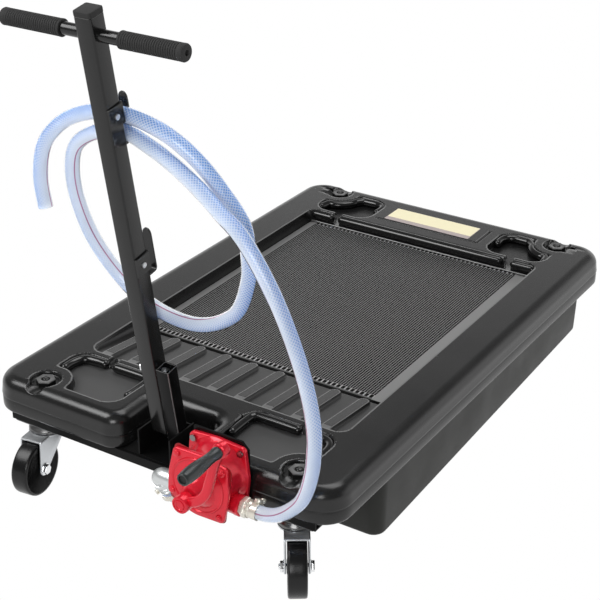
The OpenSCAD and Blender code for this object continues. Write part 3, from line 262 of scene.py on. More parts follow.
@dataclass(frozen=True)
class BraidFinish(Finish):
    """Tinted hose core with a braid, a painted highlight band along one side and a coloured tracer thread.

    Args:
        braid: Colour of the braid threads.
        tracer: Colour of the tracer thread.
        wall: Colour of the painted highlight band along one side.
        turns: Braid turns per unit of the tube's U coordinate, which is metres along it.
        starts: Threads round the tube.
    """

    braid: Colour = (0.90, 0.94, 0.99)
    tracer: Colour = (0.45, 0.03, 0.16)
    wall: Colour = (0.94, 0.98, 1.0)
    turns: float = 190.0
    starts: float = 13.0

    def details(self, nodes: Nodes, shader: bpy.types.Node) -> None:
        """Draws the braid, the painted highlight band and the tracer from the tube's own coordinates."""
        calc = nodes.calc
        uv = nodes.add("UVMap", {}).outputs["UV"]
        split = nodes.add("SeparateXYZ", {"Vector": uv})
        along, around = split.outputs["X"], split.outputs["Y"]

        def band(phase: Socket, width: float) -> Socket:
            away = calc("ABSOLUTE", calc("SUBTRACT", calc("FRACT", phase), 0.5))
            return calc("LESS_THAN", away, width)

        run = calc("MULTIPLY", along, self.turns)
        threads = [
            band(calc("ADD", run, calc("MULTIPLY", around, starts)), BRAID_WIDTH)
            for starts in (self.starts, -self.starts)
        ]
        share = calc("MULTIPLY", calc("MAXIMUM", *threads), BRAID_SHARE)
        woven = nodes.mixed(share, rgba(self.base), rgba(self.braid))
        twist = calc("ADD", calc("MULTIPLY", along, TRACER_TWIST), TRACER_AT)
        phase = calc("ADD", calc("SUBTRACT", around, twist), 1.5)
        # The pale band round one side of the tube is painted highlight.
        angle = calc("MULTIPLY", calc("SUBTRACT", calc("FRACT", phase), WALL_AT), 2.0 * math.pi)
        side = calc("MULTIPLY", calc("ADD", calc("COSINE", angle), 1.0), 0.5 * WALL_SHARE)
        woven = nodes.mixed(side, woven, rgba(self.wall))
        share = calc("MULTIPLY", band(phase, TRACER_WIDTH), TRACER_SHARE)
        woven = nodes.mixed(share, woven, rgba(self.tracer))
        nodes.feed(shader, {"Base Color": woven, "Transmission Weight": SEE_THROUGH, "IOR": CORE_IOR})


MOULDED = (1500.0, 0.00012)


class Paint:
    """Every finish of the object."""

    DECK = Finish("deck_plastic", (0.007, 0.007, 0.0071), 0.25, specular=0.42, grain=MOULDED)
    RIM = Finish("rim_plastic", (0.007, 0.007, 0.007), 0.24, specular=0.46, grain=MOULDED)
    RAMP = Finish("ramp_plastic", (0.009, 0.009, 0.009), 0.34, specular=0.42, grain=MOULDED)
    POCKET = Finish("pocket_plastic", (0.05, 0.05, 0.05), 0.44, grain=(1500.0, 0.00015))
    # The lip finish is painted highlight: a lighter grey laid on the upper edges of the deck's openings and
    # ribs.
    LIP = Finish("lip_plastic", (0.11, 0.11, 0.11), 0.30, specular=0.6)
    ROLL = Finish("roll_plastic", (0.005, 0.005, 0.0051), 0.13)
    SUMP = Finish("sump_plastic", (0.011, 0.0115, 0.0095), 0.48, specular=0.3, grain=(1200.0, 0.0002))
    STEEL = Finish("black_steel", (0.011, 0.011, 0.0115), 0.20, coat=0.35, grain=(500.0, 0.00006))
    GRATE = Finish("grate_steel", (0.25, 0.25, 0.251), 0.34, mottle=0.15)
    GRATE_EDGE = Finish("grate_edge", (0.19, 0.19, 0.189), 0.38)
    TEETH = Finish("grate_teeth", (0.34, 0.34, 0.339), 0.38)
    # The grate front finish is painted shade: a darker grey for the sill in front of the grate.
    GRATE_FRONT = Finish("grate_front", (0.05, 0.05, 0.05), 0.42, specular=0.4)
    # The night finish is painted shade: a darker black for steel in shade, the cross tubes under the rim, the
    # foot bracket and the bolt heads' sides.
    NIGHT = Finish("night_steel", (0.004, 0.004, 0.004), 0.5, specular=0.12, grain=(600.0, 0.00008))
    POST = Finish("post_black", (0.004, 0.004, 0.0042), 0.22, specular=0.10, grain=(500.0, 0.00005))
    # The bright edge finish is painted highlight: a lighter grey laid on edges of black steel, the post's
    # corners, the foot bracket's softened edges and the grate's rail.
    EDGE = Finish("bright_edge", (0.10, 0.10, 0.10), 0.20, specular=0.8, coat=0.6)
    # The plate edge finish is painted highlight: a light grey on the pump bracket's softened edges.
    PLATE_EDGE = Finish("plate_edge", (0.34, 0.34, 0.33), 0.3, specular=0.6)
    SCREW = Finish("screw_steel", (0.22, 0.20, 0.20), 0.16, metallic=1.0, mottle=0.3)
    GASKET = Finish("gasket_red", (0.30, 0.002, 0.006), 0.5)
    # The inner black finish is painted shade, for the sheet under the grate.
    BLACK = Finish("inner_black", (0.002, 0.002, 0.002), 0.7, specular=0.1)
    LABEL = Finish("label_cream", (0.50, 0.45, 0.235), 0.5, mottle=0.05)
    LABEL_EDGE = Finish("label_edge", (0.42, 0.36, 0.35), 0.5, mottle=0.05)
    ZINC = Finish("zinc", (0.90, 0.905, 0.91), 0.24, metallic=0.6, mottle=0.3, grain=(300.0, 0.00005))
    # The race finish is painted shade: a darkened zinc for the caster tops, which sit in shade.
    RACE = Finish("race_zinc", (0.14, 0.14, 0.14), 0.30, metallic=1.0, mottle=0.3)
    # The bolt head finish is painted highlight: a lighter grey for the top rings of the bolts, whose sides
    # are the darker painted-shade black.
    HEAD = Finish("bolt_head", (0.085, 0.085, 0.085), 0.36)
    CHROME = Finish("bright_zinc", (0.80, 0.81, 0.82), 0.14, metallic=1.0, mottle=0.2)
    RUBBER = Finish("wheel_rubber", (0.004, 0.004, 0.0042), 0.28, specular=0.32, grain=(900.0, 0.00008))
    TYRE_SIDE = Finish("tyre_side", (0.0025, 0.0025, 0.0026), 0.5, specular=0.06)
    GRIP = Finish("grip_rubber", (0.012, 0.0125, 0.0125), 0.42, grain=(900.0, 0.0001))
    CRANK_GRIP = Finish("crank_grip", (0.016, 0.020, 0.020), 0.30, grain=(700.0, 0.00005))
    RED = Finish("pump_red", (1.0, 0.011, 0.032), 0.22, coat=0.5, mottle=0.12, grain=(260.0, 0.00012))
    GREY = Finish("fitting_grey", (0.60, 0.63, 0.62), 0.32, metallic=0.55, mottle=0.2, grain=(300.0, 0.0001))
    CREAM = Finish("fitting_cream", (0.78, 0.75, 0.66), 0.26, metallic=0.5, mottle=0.2)
    HOSE = ClearFinish("clear_hose", (0.97, 0.98, 1.0), 0.10, specular=0.1)
    HOSE_CORE = BraidFinish("hose_core", (0.09, 0.29, 0.74), 0.24, coat=0.8)


@dataclass
class Surface:
    """A bare mesh in millimetres.

    Args:
        verts: Points, n by 3.
        faces: Index arrays, m by k, one for each number of corners.
        uv: Optional coordinates per point, n by 2.
    """

    verts: Array
    faces: list[Array]
    uv: Optional[Array] = None

    def at(self, matrix: Array) -> "Surface":
        """Returns the surface moved by a 4 by 4 matrix."""
        return Surface(self.verts @ matrix[:3, :3].T + matrix[:3, 3], self.faces, self.uv)

    def part(self, faces: Array) -> "Surface":
        """Returns the surface of some of its faces, with only the points that they use."""
        used, index = np.unique(faces, return_inverse=True)
        return Surface(self.verts[used], [index.reshape(faces.shape)])

    @staticmethod
    def join(parts: Sequence["Surface"]) -> "Surface":
        """Returns one surface that holds all the parts."""
        starts = np.cumsum([0] + [len(p.verts) for p in parts])
        faces = [f + s for p, s in zip(parts, starts) for f in p.faces]
        uv = None
        if all(p.uv is not None for p in parts):
            uv = np.vstack([p.uv for p in parts])
        return Surface(np.vstack([p.verts for p in parts]), faces, uv)


def shift(x: float, y: float, z: float) -> Array:
    """Returns the matrix of a translation."""
    m = np.eye(4)
    m[:3, 3] = (x, y, z)
    return m


def turn(axis: str, degrees: float) -> Array:
    """Returns the matrix of a rotation about X, Y or Z."""
    return np.array(Matrix.Rotation(math.radians(degrees), 4, axis))


def basis(x: Sequence[float], y: Sequence[float], z: Sequence[float], origin: Sequence[float]) -> Array:
    """Returns the matrix that takes local axes to the given vectors."""
    m = np.eye(4)
    m[:3, 0], m[:3, 1], m[:3, 2], m[:3, 3] = x, y, z, origin
    return m


def unit(vectors: Array) -> Array:
    """Returns vectors made one long."""
    return vectors / np.linalg.norm(vectors, axis=-1, keepdims=True)


def at_height(outline: Array, z: Array | float) -> Array:
    """Returns the points of an outline with their height, n by 3."""
    return np.column_stack([outline, np.broadcast_to(z, len(outline))])


TO_X = basis((0, 1, 0), (0, 0, 1), (1, 0, 0), (0, 0, 0))
TO_Y = basis((1, 0, 0), (0, 0, 1), (0, -1, 0), (0, 0, 0))
MAST = shift(0, -486, 292) @ turn("X", 9.5)
PUMP = shift(140, 0, 184) @ TO_Y
OFF_MIDDLE = shift(2, -7, 0)
CRANK_END = (72.0, 118.0)


def grid_faces(nu: int, nv: int, wrap: bool = False) -> Array:
    """Returns the quads of a grid of points.

    Args:
        nu: Points along the first parameter.
        nv: Points along the second.
        wrap: Whether the second parameter closes on itself.

    Returns:
        Indices, m by 4.
    """
    i, j = np.meshgrid(np.arange(nu - 1), np.arange(nv if wrap else nv - 1), indexing="ij")
    k = (j + 1) % nv
    return np.stack([i * nv + j, i * nv + k, (i + 1) * nv + k, (i + 1) * nv + j], -1).reshape(-1, 4)


def end_faces(nu: int, nv: int, sides: int) -> list[Array]:
    """Returns the faces that close the first and the last ring of a grid, each with that many sides."""
    ring = np.arange(sides)
    return [ring[::-1][None], (ring + (nu - 1) * nv)[None]]


def sheet(points: Array) -> Surface:
    """Returns an open grid surface of nu by nv points."""
    nu, nv = points.shape[:2]
    return Surface(points.reshape(-1, 3), [grid_faces(nu, nv)])


def loft(rings: Array, caps: bool = True) -> Surface:
    """Returns a skin over closed rings.

    Args:
        rings: n by k by 3 points.
        caps: Whether both ends are closed.

    Returns:
        The skin.
    """
    n, k = rings.shape[:2]
    return Surface(rings.reshape(-1, 3), [grid_faces(n, k, True), *(end_faces(n, k, k) if caps else [])])


def revolve(profile: Sequence[tuple[float, float]], segments: int = 48) -> Surface:
    """Returns a turned shape about local Z, from (radius, height) pairs."""
    p = np.asarray(profile, float)
    a = np.arange(segments) / segments * 2 * math.pi
    rings = np.stack([p[:, :1] * np.cos(a), p[:, :1] * np.sin(a), np.repeat(p[:, 1:], segments, 1)], -1)
    return loft(rings, caps=not np.allclose(p[0], p[-1]))


def arc(cx: float, cy: float, r: float, a0: float, a1: float, n: int = 8) -> Array:
    """Returns points of an arc in degrees, n + 1 by 2."""
    a = np.radians(np.linspace(a0, a1, n + 1))
    return np.stack([cx + r * np.cos(a), cy + r * np.sin(a)], -1)


def round_rect(x0: float, y0: float, x1: float, y1: float, r: float, n: int = 6) -> Array:
    """Returns the outline of a rectangle with round corners, counter-clockwise."""
    return np.vstack([
        arc(x1 - r, y1 - r, r, 0, 90, n), arc(x0 + r, y1 - r, r, 90, 180, n),
        arc(x0 + r, y0 + r, r, 180, 270, n), arc(x1 - r, y0 + r, r, 270, 360, n),
    ])


def inset(outline: Array, by: float) -> Array:
    """Returns a closed outline moved inwards along its corner normals."""
    before, after = np.roll(outline, 1, 0), np.roll(outline, -1, 0)

    def side(v: Array) -> Array:
        length = np.maximum(np.linalg.norm(v, axis=1, keepdims=True), 1e-9)
        return np.stack([v[:, 1], -v[:, 0]], -1) / length

    n0, n1 = side(outline - before), side(after - outline)
    n = n0 + n1
    n = n / np.maximum(np.linalg.norm(n, axis=1, keepdims=True), 1e-9)
    grow = 1.0 / np.maximum((n * n1).sum(1, keepdims=True), 0.5)
    return outline - by * n * grow


def plate(outline: Array, z0: float, z1: float, bevel: float = 0.6, steps: int = 2) -> Surface:
    """Returns a slab of an outline with rounded edges.

    Args:
        outline: Counter-clockwise points, n by 2.
        z0: Low face.
        z1: High face.
        bevel: Radius of the edges.
        steps: Facets of a rounded edge.

    Returns:
        The closed slab.
    """
    a = np.linspace(0, math.pi / 2, steps + 1)
    ins = np.concatenate([bevel * (1 - np.sin(a)), bevel * (1 - np.cos(a))])
    zs = np.concatenate([z0 + bevel * (1 - np.cos(a)), z1 - bevel * (1 - np.sin(a))])
    return loft(np.stack([at_height(inset(outline, i), z) for i, z in zip(ins, zs)]))


def tube(path: Array, radius: Array | float, sides: int, ref: Sequence[float], caps: bool = True) -> Surface:
    """Returns a round tube along a path, with U in metres along it and V round it.

    Args:
        path: n by 3 points.
        radius: Tube radius, one number or one per point.
        sides: Points round the tube.
        ref: A direction the path never runs along.
        caps: Whether the ends are closed.

    Returns:
        The tube, with its seam doubled for the coordinates.
    """
    t = unit(np.gradient(path, axis=0))
    s = unit(np.cross(t, np.asarray(ref, float)))
    u = np.cross(s, t)
    a = np.linspace(0, 2 * math.pi, sides + 1)
    cos, sin = np.cos(a)[None, :, None], np.sin(a)[None, :, None]
    r = np.broadcast_to(np.asarray(radius, float), (len(path),))[:, None, None]
    rings = path[:, None] + r * (cos * s[:, None] + sin * u[:, None])
    along = np.concatenate([[0], np.cumsum(np.linalg.norm(np.diff(path, axis=0), axis=1))]) * MM
    uv = np.stack(np.meshgrid(along, a / (2 * math.pi), indexing="ij"), -1).reshape(-1, 2)
    n, k = rings.shape[:2]
    faces = [grid_faces(n, k), *(end_faces(n, k, sides) if caps else [])]
    return Surface(rings.reshape(-1, 3), faces, uv)


def spline(points: Sequence[Point], steps: int) -> Array:
    """Returns a smooth curve through points, with a number of steps between two of them."""
    p = np.asarray(points, float)
    k = np.vstack([p[:1], p, p[-1:]])
    u = (np.arange(steps) / steps)[None, :, None]
    a, b, c, d = (k[i:len(k) - 3 + i, None] for i in range(4))
    curve = 0.5 * (
        2 * b + (c - a) * u + (2 * a - 5 * b + 4 * c - d) * u ** 2 + (3 * b - a - 3 * c + d) * u ** 3
    )
    return np.vstack([curve.reshape(-1, 3), p[-1:]])


def add_piece(
    name: str,
    surface: Surface,
    finish: Finish,
    body: Optional[Body],
    replaces: Sequence[str] = (),
    shade: Shade = Shade.CREASED,
    closed: bool = True,
    slot: Optional[str] = None,
) -> bpy.types.Object:
    """Adds a surface to the scene as a piece of the object.

    Args:
        name: Piece name.
        surface: Its mesh, in millimetres in the tank's frame.
        finish: Its finish.
        body: The CAD body that it rides on, or None to leave it unattached.
        replaces: CAD nodes that it stands for.
        shade: How its faces are shaded.
        closed: Whether the mesh is closed, so that its normals can be turned outwards.
        slot: Material slot name; not used.

    Returns:
        The new object.
    """
    mesh = bpy.data.meshes.new(name)
    verts = (surface.verts + (0.0, TANK_CY, 0.0)) * MM
    sizes = np.concatenate([np.full(len(f), f.shape[1]) for f in surface.faces])
    loops = np.concatenate([f.reshape(-1) for f in surface.faces])
    for items, key, values in (
        (mesh.vertices, "co", verts.astype(np.float32)),
        (mesh.loops, "vertex_index", loops.astype(np.int32)),
        (mesh.polygons, "loop_start", (np.cumsum(sizes) - sizes).astype(np.int32)),
    ):
        items.add(len(values))
        items.foreach_set(key, values.ravel())
    if surface.uv is not None:
        layer = mesh.uv_layers.new(name="UVMap")
        layer.data.foreach_set("uv", surface.uv[loops].astype(np.float32).ravel())
    mesh.update(calc_edges=True)
    mesh.validate()
    if closed:
        turn_out(mesh)
    mesh.shade_smooth()
    if shade is Shade.CREASED:
        mesh.set_sharp_from_angle(angle=CREASE)
    obj = bpy.data.objects.new(name, mesh)
    bpy.context.scene.collection.objects.link(obj)
    mesh.materials.append(finish.material())
    if body is not None:
        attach(obj, body.value)
    if replaces:
        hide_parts(*replaces)
    return obj


def turn_out(mesh: bpy.types.Mesh) -> None:
    """Turns the normals of a closed mesh outwards."""
    bm = bmesh.new()
    bm.from_mesh(mesh)
    bmesh.ops.recalc_face_normals(bm, faces=bm.faces)
    bm.to_mesh(mesh)
    bm.free()


@dataclass
class Look:
    """A group of the object's pieces.

    Args:
        nodes: The frame's nodes.
    """

    nodes: dict[str, bpy.types.Object]

    def dress(self, finish: Finish, *names: str, bevel: float = 0.0, edge: Optional[Finish] = None) -> None:
        """Gives CAD nodes a finish, and softens their edges.

        Args:
            finish: The finish.
            names: Which nodes.
            bevel: Edge radius in millimetres; 0 leaves the edges sharp.
            edge: Finish of the softened edges, where it differs, here a lighter grey as painted highlight.
        """
        for name in names:
            obj = self.nodes[name]
            obj.data.materials.clear()
            obj.data.materials.append(finish.material())
            if bevel > 0.0:
                mod = obj.modifiers.new("edges", "BEVEL")
                mod.width = bevel * MM
                mod.segments = 2
                mod.limit_method = "ANGLE"
                mod.angle_limit = EDGE_ANGLE
                mod.harden_normals = False
                if edge is not None:
                    obj.data.materials.append(edge.material())
                    mod.material = 1


def box_distance(x: Array, y: Array, x0: float, y0: float, x1: float, y1: float, r: float) -> Array:
    """Returns the signed distance to a round-cornered rectangle, negative inside."""
    dx = np.abs(x - (x0 + x1) / 2) - (x1 - x0) / 2 + r
    dy = np.abs(y - (y0 + y1) / 2) - (y1 - y0) / 2 + r
    return np.hypot(np.maximum(dx, 0), np.maximum(dy, 0)) + np.minimum(np.maximum(dx, dy), 0) - r


def smooth_max(a: Array, b: Array, k: float) -> Array:
    """Returns the larger of two fields, blended over k."""
    h = np.clip(0.5 + 0.5 * (a - b) / k, 0, 1)
    return b + (a - b) * h + k * h * (1 - h)


def drop(d: Array, depth: Array | float, lip: float = 3.0, steep: float = 2.0) -> Array:
    """Returns the depth of a recess with a faintly sloped lip and a steep wall.

    Args:
        d: Distance field, negative inside the recess.
        depth: Depth of its floor.
        lip: Width of the lip outside of the wall.
        steep: Width of the wall.

    Returns:
        Depth at each point.
    """
    edge = LIP_SLOPE * np.clip(lip - d, 0, lip)
    return edge + np.maximum(depth - LIP_SLOPE * lip, 0) * np.clip(-d / steep, 0, 1)


@dataclass(frozen=True)
class Pocket:
    """A tool pocket at one corner of the deck.

    Args:
        side: -1 left, 1 right.
        end: -1 front, 1 rear.
        inner: Distance of its inner side from the middle.
        outer: Distance of its outer side from the middle.
        near: Distance of its near side from the tank's middle.
        far: Distance of its far side.
    """

    side: int
    end: int
    inner: float
    outer: float
    near: float
    far: float = 486.0

    def depth(self, x: Array, y: Array) -> Array:
        """Returns how deep the pocket and its drain channel are at each point."""
        px, py = self.side * x, self.end * y
        d = box_distance(px, py, self.inner, self.near, self.outer, self.far, POCKET_R)
        d = smooth_max(d, BANK_R - np.hypot(px - BOLT_X, py - BOLT_Y), 10)
        reach = 350.0 if self.end < 0 else 371.0
        channel = box_distance(px, py, CHANNEL_X[0], reach, CHANNEL_X[1], self.near + 8, 5)
        return np.maximum(drop(d, POCKET_DEPTH), drop(channel, CHANNEL_DEPTH, 1.5))

    def rolls(self) -> list[Array]:
        """Returns the lines of the round bars along the walls that face the front."""
        if self.end < 0:
            y = self.near + 5
            lines = [
                [(self.outer - 6, y + 47), (self.outer - 6, y + 28), (self.outer - 11, y + 12),
                 (self.outer - 22, y + 3), (self.outer - 42, y), (212, y)],
                [(185, y), (self.inner + 20, y), (self.inner + 9, y + 6), (self.inner + 6, y + 18),
                 (self.inner + 6, y + 62)],
            ]
        else:
            bank = arc(BOLT_X, BOLT_Y, BANK_R + 4, -92, -165, 6)
            y = self.far - 5
            lines = [[(self.outer - 4, 410), *bank, (196, y - 2), (184, y), (self.inner + 26, y),
                      (self.inner + 12, y - 6), (self.inner + 6, y - 20), (self.inner + 6, y - 38)]]
        mirror = (self.side, self.end)
        return [np.array(line) * mirror for line in lines]


@dataclass
class TankLook(Look):
    """Deck, sump, grate, label and corner bolts.

    Args:
        pockets: The deck's tool pockets.
    """

    pockets: list[Pocket] = field(default_factory=lambda: [
        Pocket(-1, -1, 105, 268, 371), Pocket(1, -1, 94, 264, 371),
        Pocket(-1, 1, 135, 263, 384), Pocket(1, 1, 136, 262, 384),
    ])

    # Straight runs of the rim (from, to, step), each with the bend after it (centre, radius, angles).
    RIM = (
        ((342, -470, 342, 470, 5.0), (292, 470, 50, 0, 90)),
        ((292, 520, -292, 520, 1.6), (-292, 470, 50, 90, 180)),
        ((-342, 470, -347, -470, 5.0), (-297, -470, 50, 180, 270)),
        ((-297, -520, -101, -520, 1.4), (-101, -486, 34, 270, 360)),
        ((-67, -486, -67, -439, 5.0), (-47, -439, 20, 180, 90)),
        ((-47, -419, 47, -419, 5.0), (47, -439, 20, 90, 0)),
        ((67, -439, 67, -486, 5.0), (101, -486, 34, 180, 270)),
        ((101, -520, 292, -520, 1.4), (292, -470, 50, 270, 360)),
    )
    # The rim's rounded edge, and the corners of the flat top inside of it.
    ROLL_R, RIM_X, RIM_Y, RIM_R = 22, 292, 470, 28
    TIP_X, TIP_Y, TIP_R = 101, -486, 12
    NOTCH_X, NOTCH_Y, NOTCH_R = 47, -439, 42
    # Bolt dishes and their scoops; the basin, its ramp and ribs.
    DISH_R, DISH_DEPTH, DISH_LIP = 27, 8, 2.5
    SCOOP_R, SCOOP_DEPTH, SCOOP_RUN = 17, 11, (505, 540)
    BASIN, BASIN_R, RAMP_END = (-260, -357, 260, 375), 22, -220
    RIB_PITCH, RIB_HALF, RIB_RISE, RIB_END = 56.0, 10.0, 6.0, 4.4
    RIB_RUN, RIB_CUT = (-380, -234), -364
    # Edges painted lighter as a highlight: how far they face the front, how deep they lie, and where they are
    # on a rib.
    LIP_FACING, LIP_LEAST, LIP_CREST, LIP_MOST = -0.04, 0.06, 0.9, 1.2
    RIB_EDGE = (-2.3, -0.2)
    # The sump's box and levels; the grate's sheet, frame, height, cells and teeth.
    SUMP, SUMP_R = (-340, -375, 340, 420), 26
    SUMP_LOW, SUMP_HIGH, SUMP_TOP, SUMP_EDGE = 28.0, 63.0, 170.0, 8
    GRATE, GRATE_FRAME = (-243.0, -190.0, 222.0, 359.0), (-257.0, -205.0, 257.0, 374.0)
    GRATE_Z, CELL_X, CELL_Y, TOOTH_X, TOOTH_Y = 170.5, 4.7, 5.4, 9.3, 11.0

    def scoop(self, x: Array, y: Array) -> Array:
        """Returns the depth of the bolt dishes and of their scoops to the end edges."""
        px, py = np.abs(x), np.abs(y)
        lip = self.DISH_LIP
        dish = drop(np.hypot(px - BOLT_X, py - BOLT_Y) - self.DISH_R, self.DISH_DEPTH, lip)
        away = np.hypot(px - BOLT_X, py - np.clip(py, *self.SCOOP_RUN))
        trough = self.SCOOP_DEPTH * np.sqrt(np.clip(1 - (away / self.SCOOP_R) ** 2, 0, 1))
        return np.maximum(dish, trough + LIP_SLOPE * np.clip(self.SCOOP_R + lip - away, 0, lip))

    def basin(self, x: Array, y: Array) -> Array:
        """Returns the distance to the basin's edge, negative inside."""
        return box_distance(x, y, *self.BASIN, self.BASIN_R)

    def rib(self, x: Array, y: Array) -> Array:
        """Returns the distance to the nearest rib of the ramp, negative inside."""
        pitch = self.RIB_PITCH
        across = np.abs((x + pitch / 2) % pitch - pitch / 2)
        across = np.where(np.abs(x) > self.RIB_END * pitch, 99.0, across)
        body = np.hypot(across, y - np.clip(y, *self.RIB_RUN)) - self.RIB_HALF
        return np.maximum(body, self.RIB_CUT - y)

    def ramp(self, x: Array, y: Array) -> Array:
        """Returns the depth of the basin with its ribbed ramp."""
        slope = np.interp(y, [-357, -346, -221, -219], [6.5, 7.0, 20, 48])
        raised = self.RIB_RISE - drop(-self.rib(x, y), self.RIB_RISE, 2.0, 1.6)
        slope = slope - np.where(y < self.RAMP_END, raised, 0.0)
        return drop(self.basin(x, y), slope)

    def label_marks(self, x: Array, y: Array) -> Array:
        """Returns the depth of the groove beside the label."""
        low = box_distance(x, y, -122, 403, 114, 408, 2)
        side = box_distance(x, y, 109, 403, 114, 472, 2)
        return drop(np.minimum(low, side), 3.5, 1.0, 1.2)

    def height(self, x: Array, y: Array) -> Array:
        """Returns the deck's height at each point."""
        depths = [self.scoop(x, y), self.ramp(x, y), self.label_marks(x, y)]
        return DECK_Z - np.max(depths + [pocket.depth(x, y) for pocket in self.pockets], axis=0)

    def floors(self, x: Array, y: Array) -> Array:
        """Returns which points lie on the floor of a tool pocket."""
        return np.max([pocket.depth(x, y) for pocket in self.pockets], axis=0) > POCKET_DEPTH - 0.1

    def lips(self, surface: Surface, faces: Array) -> Array:
        """Returns which faces of the upper edges of the deck's openings and ribs get a lighter finish, as
        painted highlight.
        """
        corners = surface.verts[faces]
        low, high = corners[..., 2].min(1), corners[..., 2].max(1)
        x, y = np.moveaxis(corners.mean(1)[:, :2], -1, 0)
        rib = self.rib(x, y)
        normal = np.cross(corners[:, 2] - corners[:, 0], corners[:, 3] - corners[:, 1])
        edge = (low > DECK_Z - self.LIP_MOST) & (low < DECK_Z - self.LIP_LEAST)
        edge &= (high > DECK_Z - self.LIP_CREST) & (normal[:, 1] / normal[:, 2] > self.LIP_FACING)
        on_rib = (rib > self.RIB_EDGE[0]) & (rib < self.RIB_EDGE[1])
        return edge | (on_rib & (self.basin(x, y) < -1) & (y < self.RAMP_END - 2))

    def patch(
        self, ys: Array, left: Callable[[Array], Array], right: Callable[[Array], Array], us: Array
    ) -> Surface:
        """Returns a piece of the deck's top between two side curves."""
        lo, hi = left(ys), right(ys)
        x = lo[:, None] + (hi - lo)[:, None] * us[None]
        y = np.repeat(ys[:, None], len(us), 1)
        made = sheet(np.stack([x, y, self.height(x, y)], -1)[:, ::-1])
        return Surface(made.verts, [f[:, ::-1] for f in made.faces])

    def outline(self) -> tuple[Array, Array]:
        """Returns the rim's outer points and outward normals, counter-clockwise."""
        points: list[Array] = []
        normals: list[Array] = []
        for (x0, y0, x1, y1, step), (cx, cy, r, a0, a1) in self.RIM:
            start, way = np.array([x0, y0]), np.array([x1 - x0, y1 - y0])
            n = max(2, int(math.hypot(*way) / step))
            t = unit(way)
            bend = arc(cx, cy, r, a0, a1, 14)
            points += [start + way * np.linspace(0, 1, n + 1)[1:-1, None], bend]
            normals += [np.repeat([[t[1], -t[0]]], n - 1, 0), (bend - (cx, cy)) / r * np.sign(a1 - a0)]
        return np.vstack(points), np.vstack(normals)

    def skirt(self) -> Surface:
        """Returns the rounded edge and the rim's side with its parting line, all round."""
        p, n = self.outline()
        profile = np.vstack([
            [[-30, DECK_Z - 0.04]], arc(-self.ROLL_R, DECK_Z - self.ROLL_R, self.ROLL_R, 90, 0, 14),
            [[0.8, 168], [1.6, 162], [1.8, 160.4], [1.4, 159.6], [0.5, 158.6], [0.5, 157.8], [1.2, 156.8]],
            [[1.2, 141]], arc(-3.8, 139, 5, 0, -90, 4), [[-20, 134], [-20, 164]],
        ])
        xy = p[:, None] + n[:, None] * profile[None, :, :1]
        z = np.repeat(profile[None, :, 1], len(p), 0)
        lid = DECK_Z - self.scoop(xy[..., 0], xy[..., 1]) - 0.02
        z = np.where(z > 161, np.minimum(z, lid), z)
        rings = np.concatenate([xy, z[..., None]], -1)
        count, k = len(p), len(profile)
        j = np.arange(k - 1)
        last = (count - 1) * k
        seam = np.stack([last + j, last + j + 1, j + 1, j], -1)
        return Surface(rings.reshape(-1, 3), [grid_faces(count, k), seam])

    def deck(self) -> None:
        """Adds the deck: its top in patches, the ramp's troughs, its rim and its round bars."""
        xs = np.concatenate([[-320, -300, -284], np.arange(-272, 272.1, 1.6), [284, 300, 320]])
        us = (xs + 320) / 640

        def bulge(r: float, away: Array) -> Array:
            return np.sqrt(np.maximum(r ** 2 - np.maximum(away, 0) ** 2, 0))

        def end_curve(y: Array) -> Array:
            return self.RIM_X + bulge(self.RIM_R, np.abs(y) - self.RIM_Y)

        def notch_curve(y: Array) -> Array:
            tip = self.TIP_X - bulge(self.TIP_R, self.TIP_Y - y)
            return np.where(y < self.NOTCH_Y, tip, self.NOTCH_X + bulge(self.NOTCH_R, y - self.NOTCH_Y))

        lobe_y = np.linspace(-498, -397, 78)
        lobe_u = np.linspace(0, 1, 180)
        slope_y = np.linspace(-397, -204, 122)
        rear_y = np.concatenate([np.arange(-204, 364, 12.0), np.linspace(364, 498, 90)])
        front = Surface.join([
            self.patch(slope_y, lambda y: -end_curve(y), end_curve, us),
            self.patch(lobe_y, lambda y: -end_curve(y), lambda y: -notch_curve(y), lobe_u),
            self.patch(lobe_y, notch_curve, end_curve, lobe_u),
        ])
        rear = self.patch(rear_y, lambda y: -end_curve(y), end_curve, us)
        faces = np.vstack(front.faces)
        x, y = np.moveaxis(front.verts[faces].mean(1)[:, :2], -1, 0)
        trough = (self.basin(x, y) < -1) & (self.rib(x, y) > -1)
        # Upper-edge faces that get the lighter finish: painted highlight.
        lip = self.lips(front, faces)
        plain = {"body": Body.TANK, "shade": Shade.SMOOTH, "closed": False, "slot": "black_plastic"}
        sunk = self.floors(x, y)
        top = front.part(faces[~trough & ~sunk & ~lip])
        add_piece("deck_front", top, Paint.DECK, replaces=["deck"], **plain)
        add_piece("deck_ramp", front.part(faces[trough & ~lip]), Paint.RAMP, **plain)
        add_piece("deck_lips", front.part(faces[lip & ~sunk]), Paint.LIP, **plain)
        add_piece("deck_floors", front.part(faces[sunk]), Paint.POCKET, **plain)
        sides = np.vstack(rear.faces)
        # Upper-edge faces that get the lighter finish: painted highlight.
        edges = self.lips(rear, sides)
        add_piece("deck_rear", rear.part(sides[~edges]), Paint.DECK, **plain)
        add_piece("deck_rear_lips", rear.part(sides[edges]), Paint.LIP, **plain)
        add_piece("deck_rim", self.skirt(), Paint.RIM, **plain)
        z = DECK_Z - 8.5
        lines = [line for pocket in self.pockets for line in pocket.rolls()]
        bars = [self.bar([(*p, z) for p in line], 8) for line in lines]
        for x0, x1 in ((-250, -213), (-186, 178), (212, 250)):
            bars.append(self.bar([(x0, 374, z - 2), (x1, 374, z - 2)], 9))
        add_piece("deck_bars", Surface.join(bars), Paint.ROLL, **plain | {"closed": True})

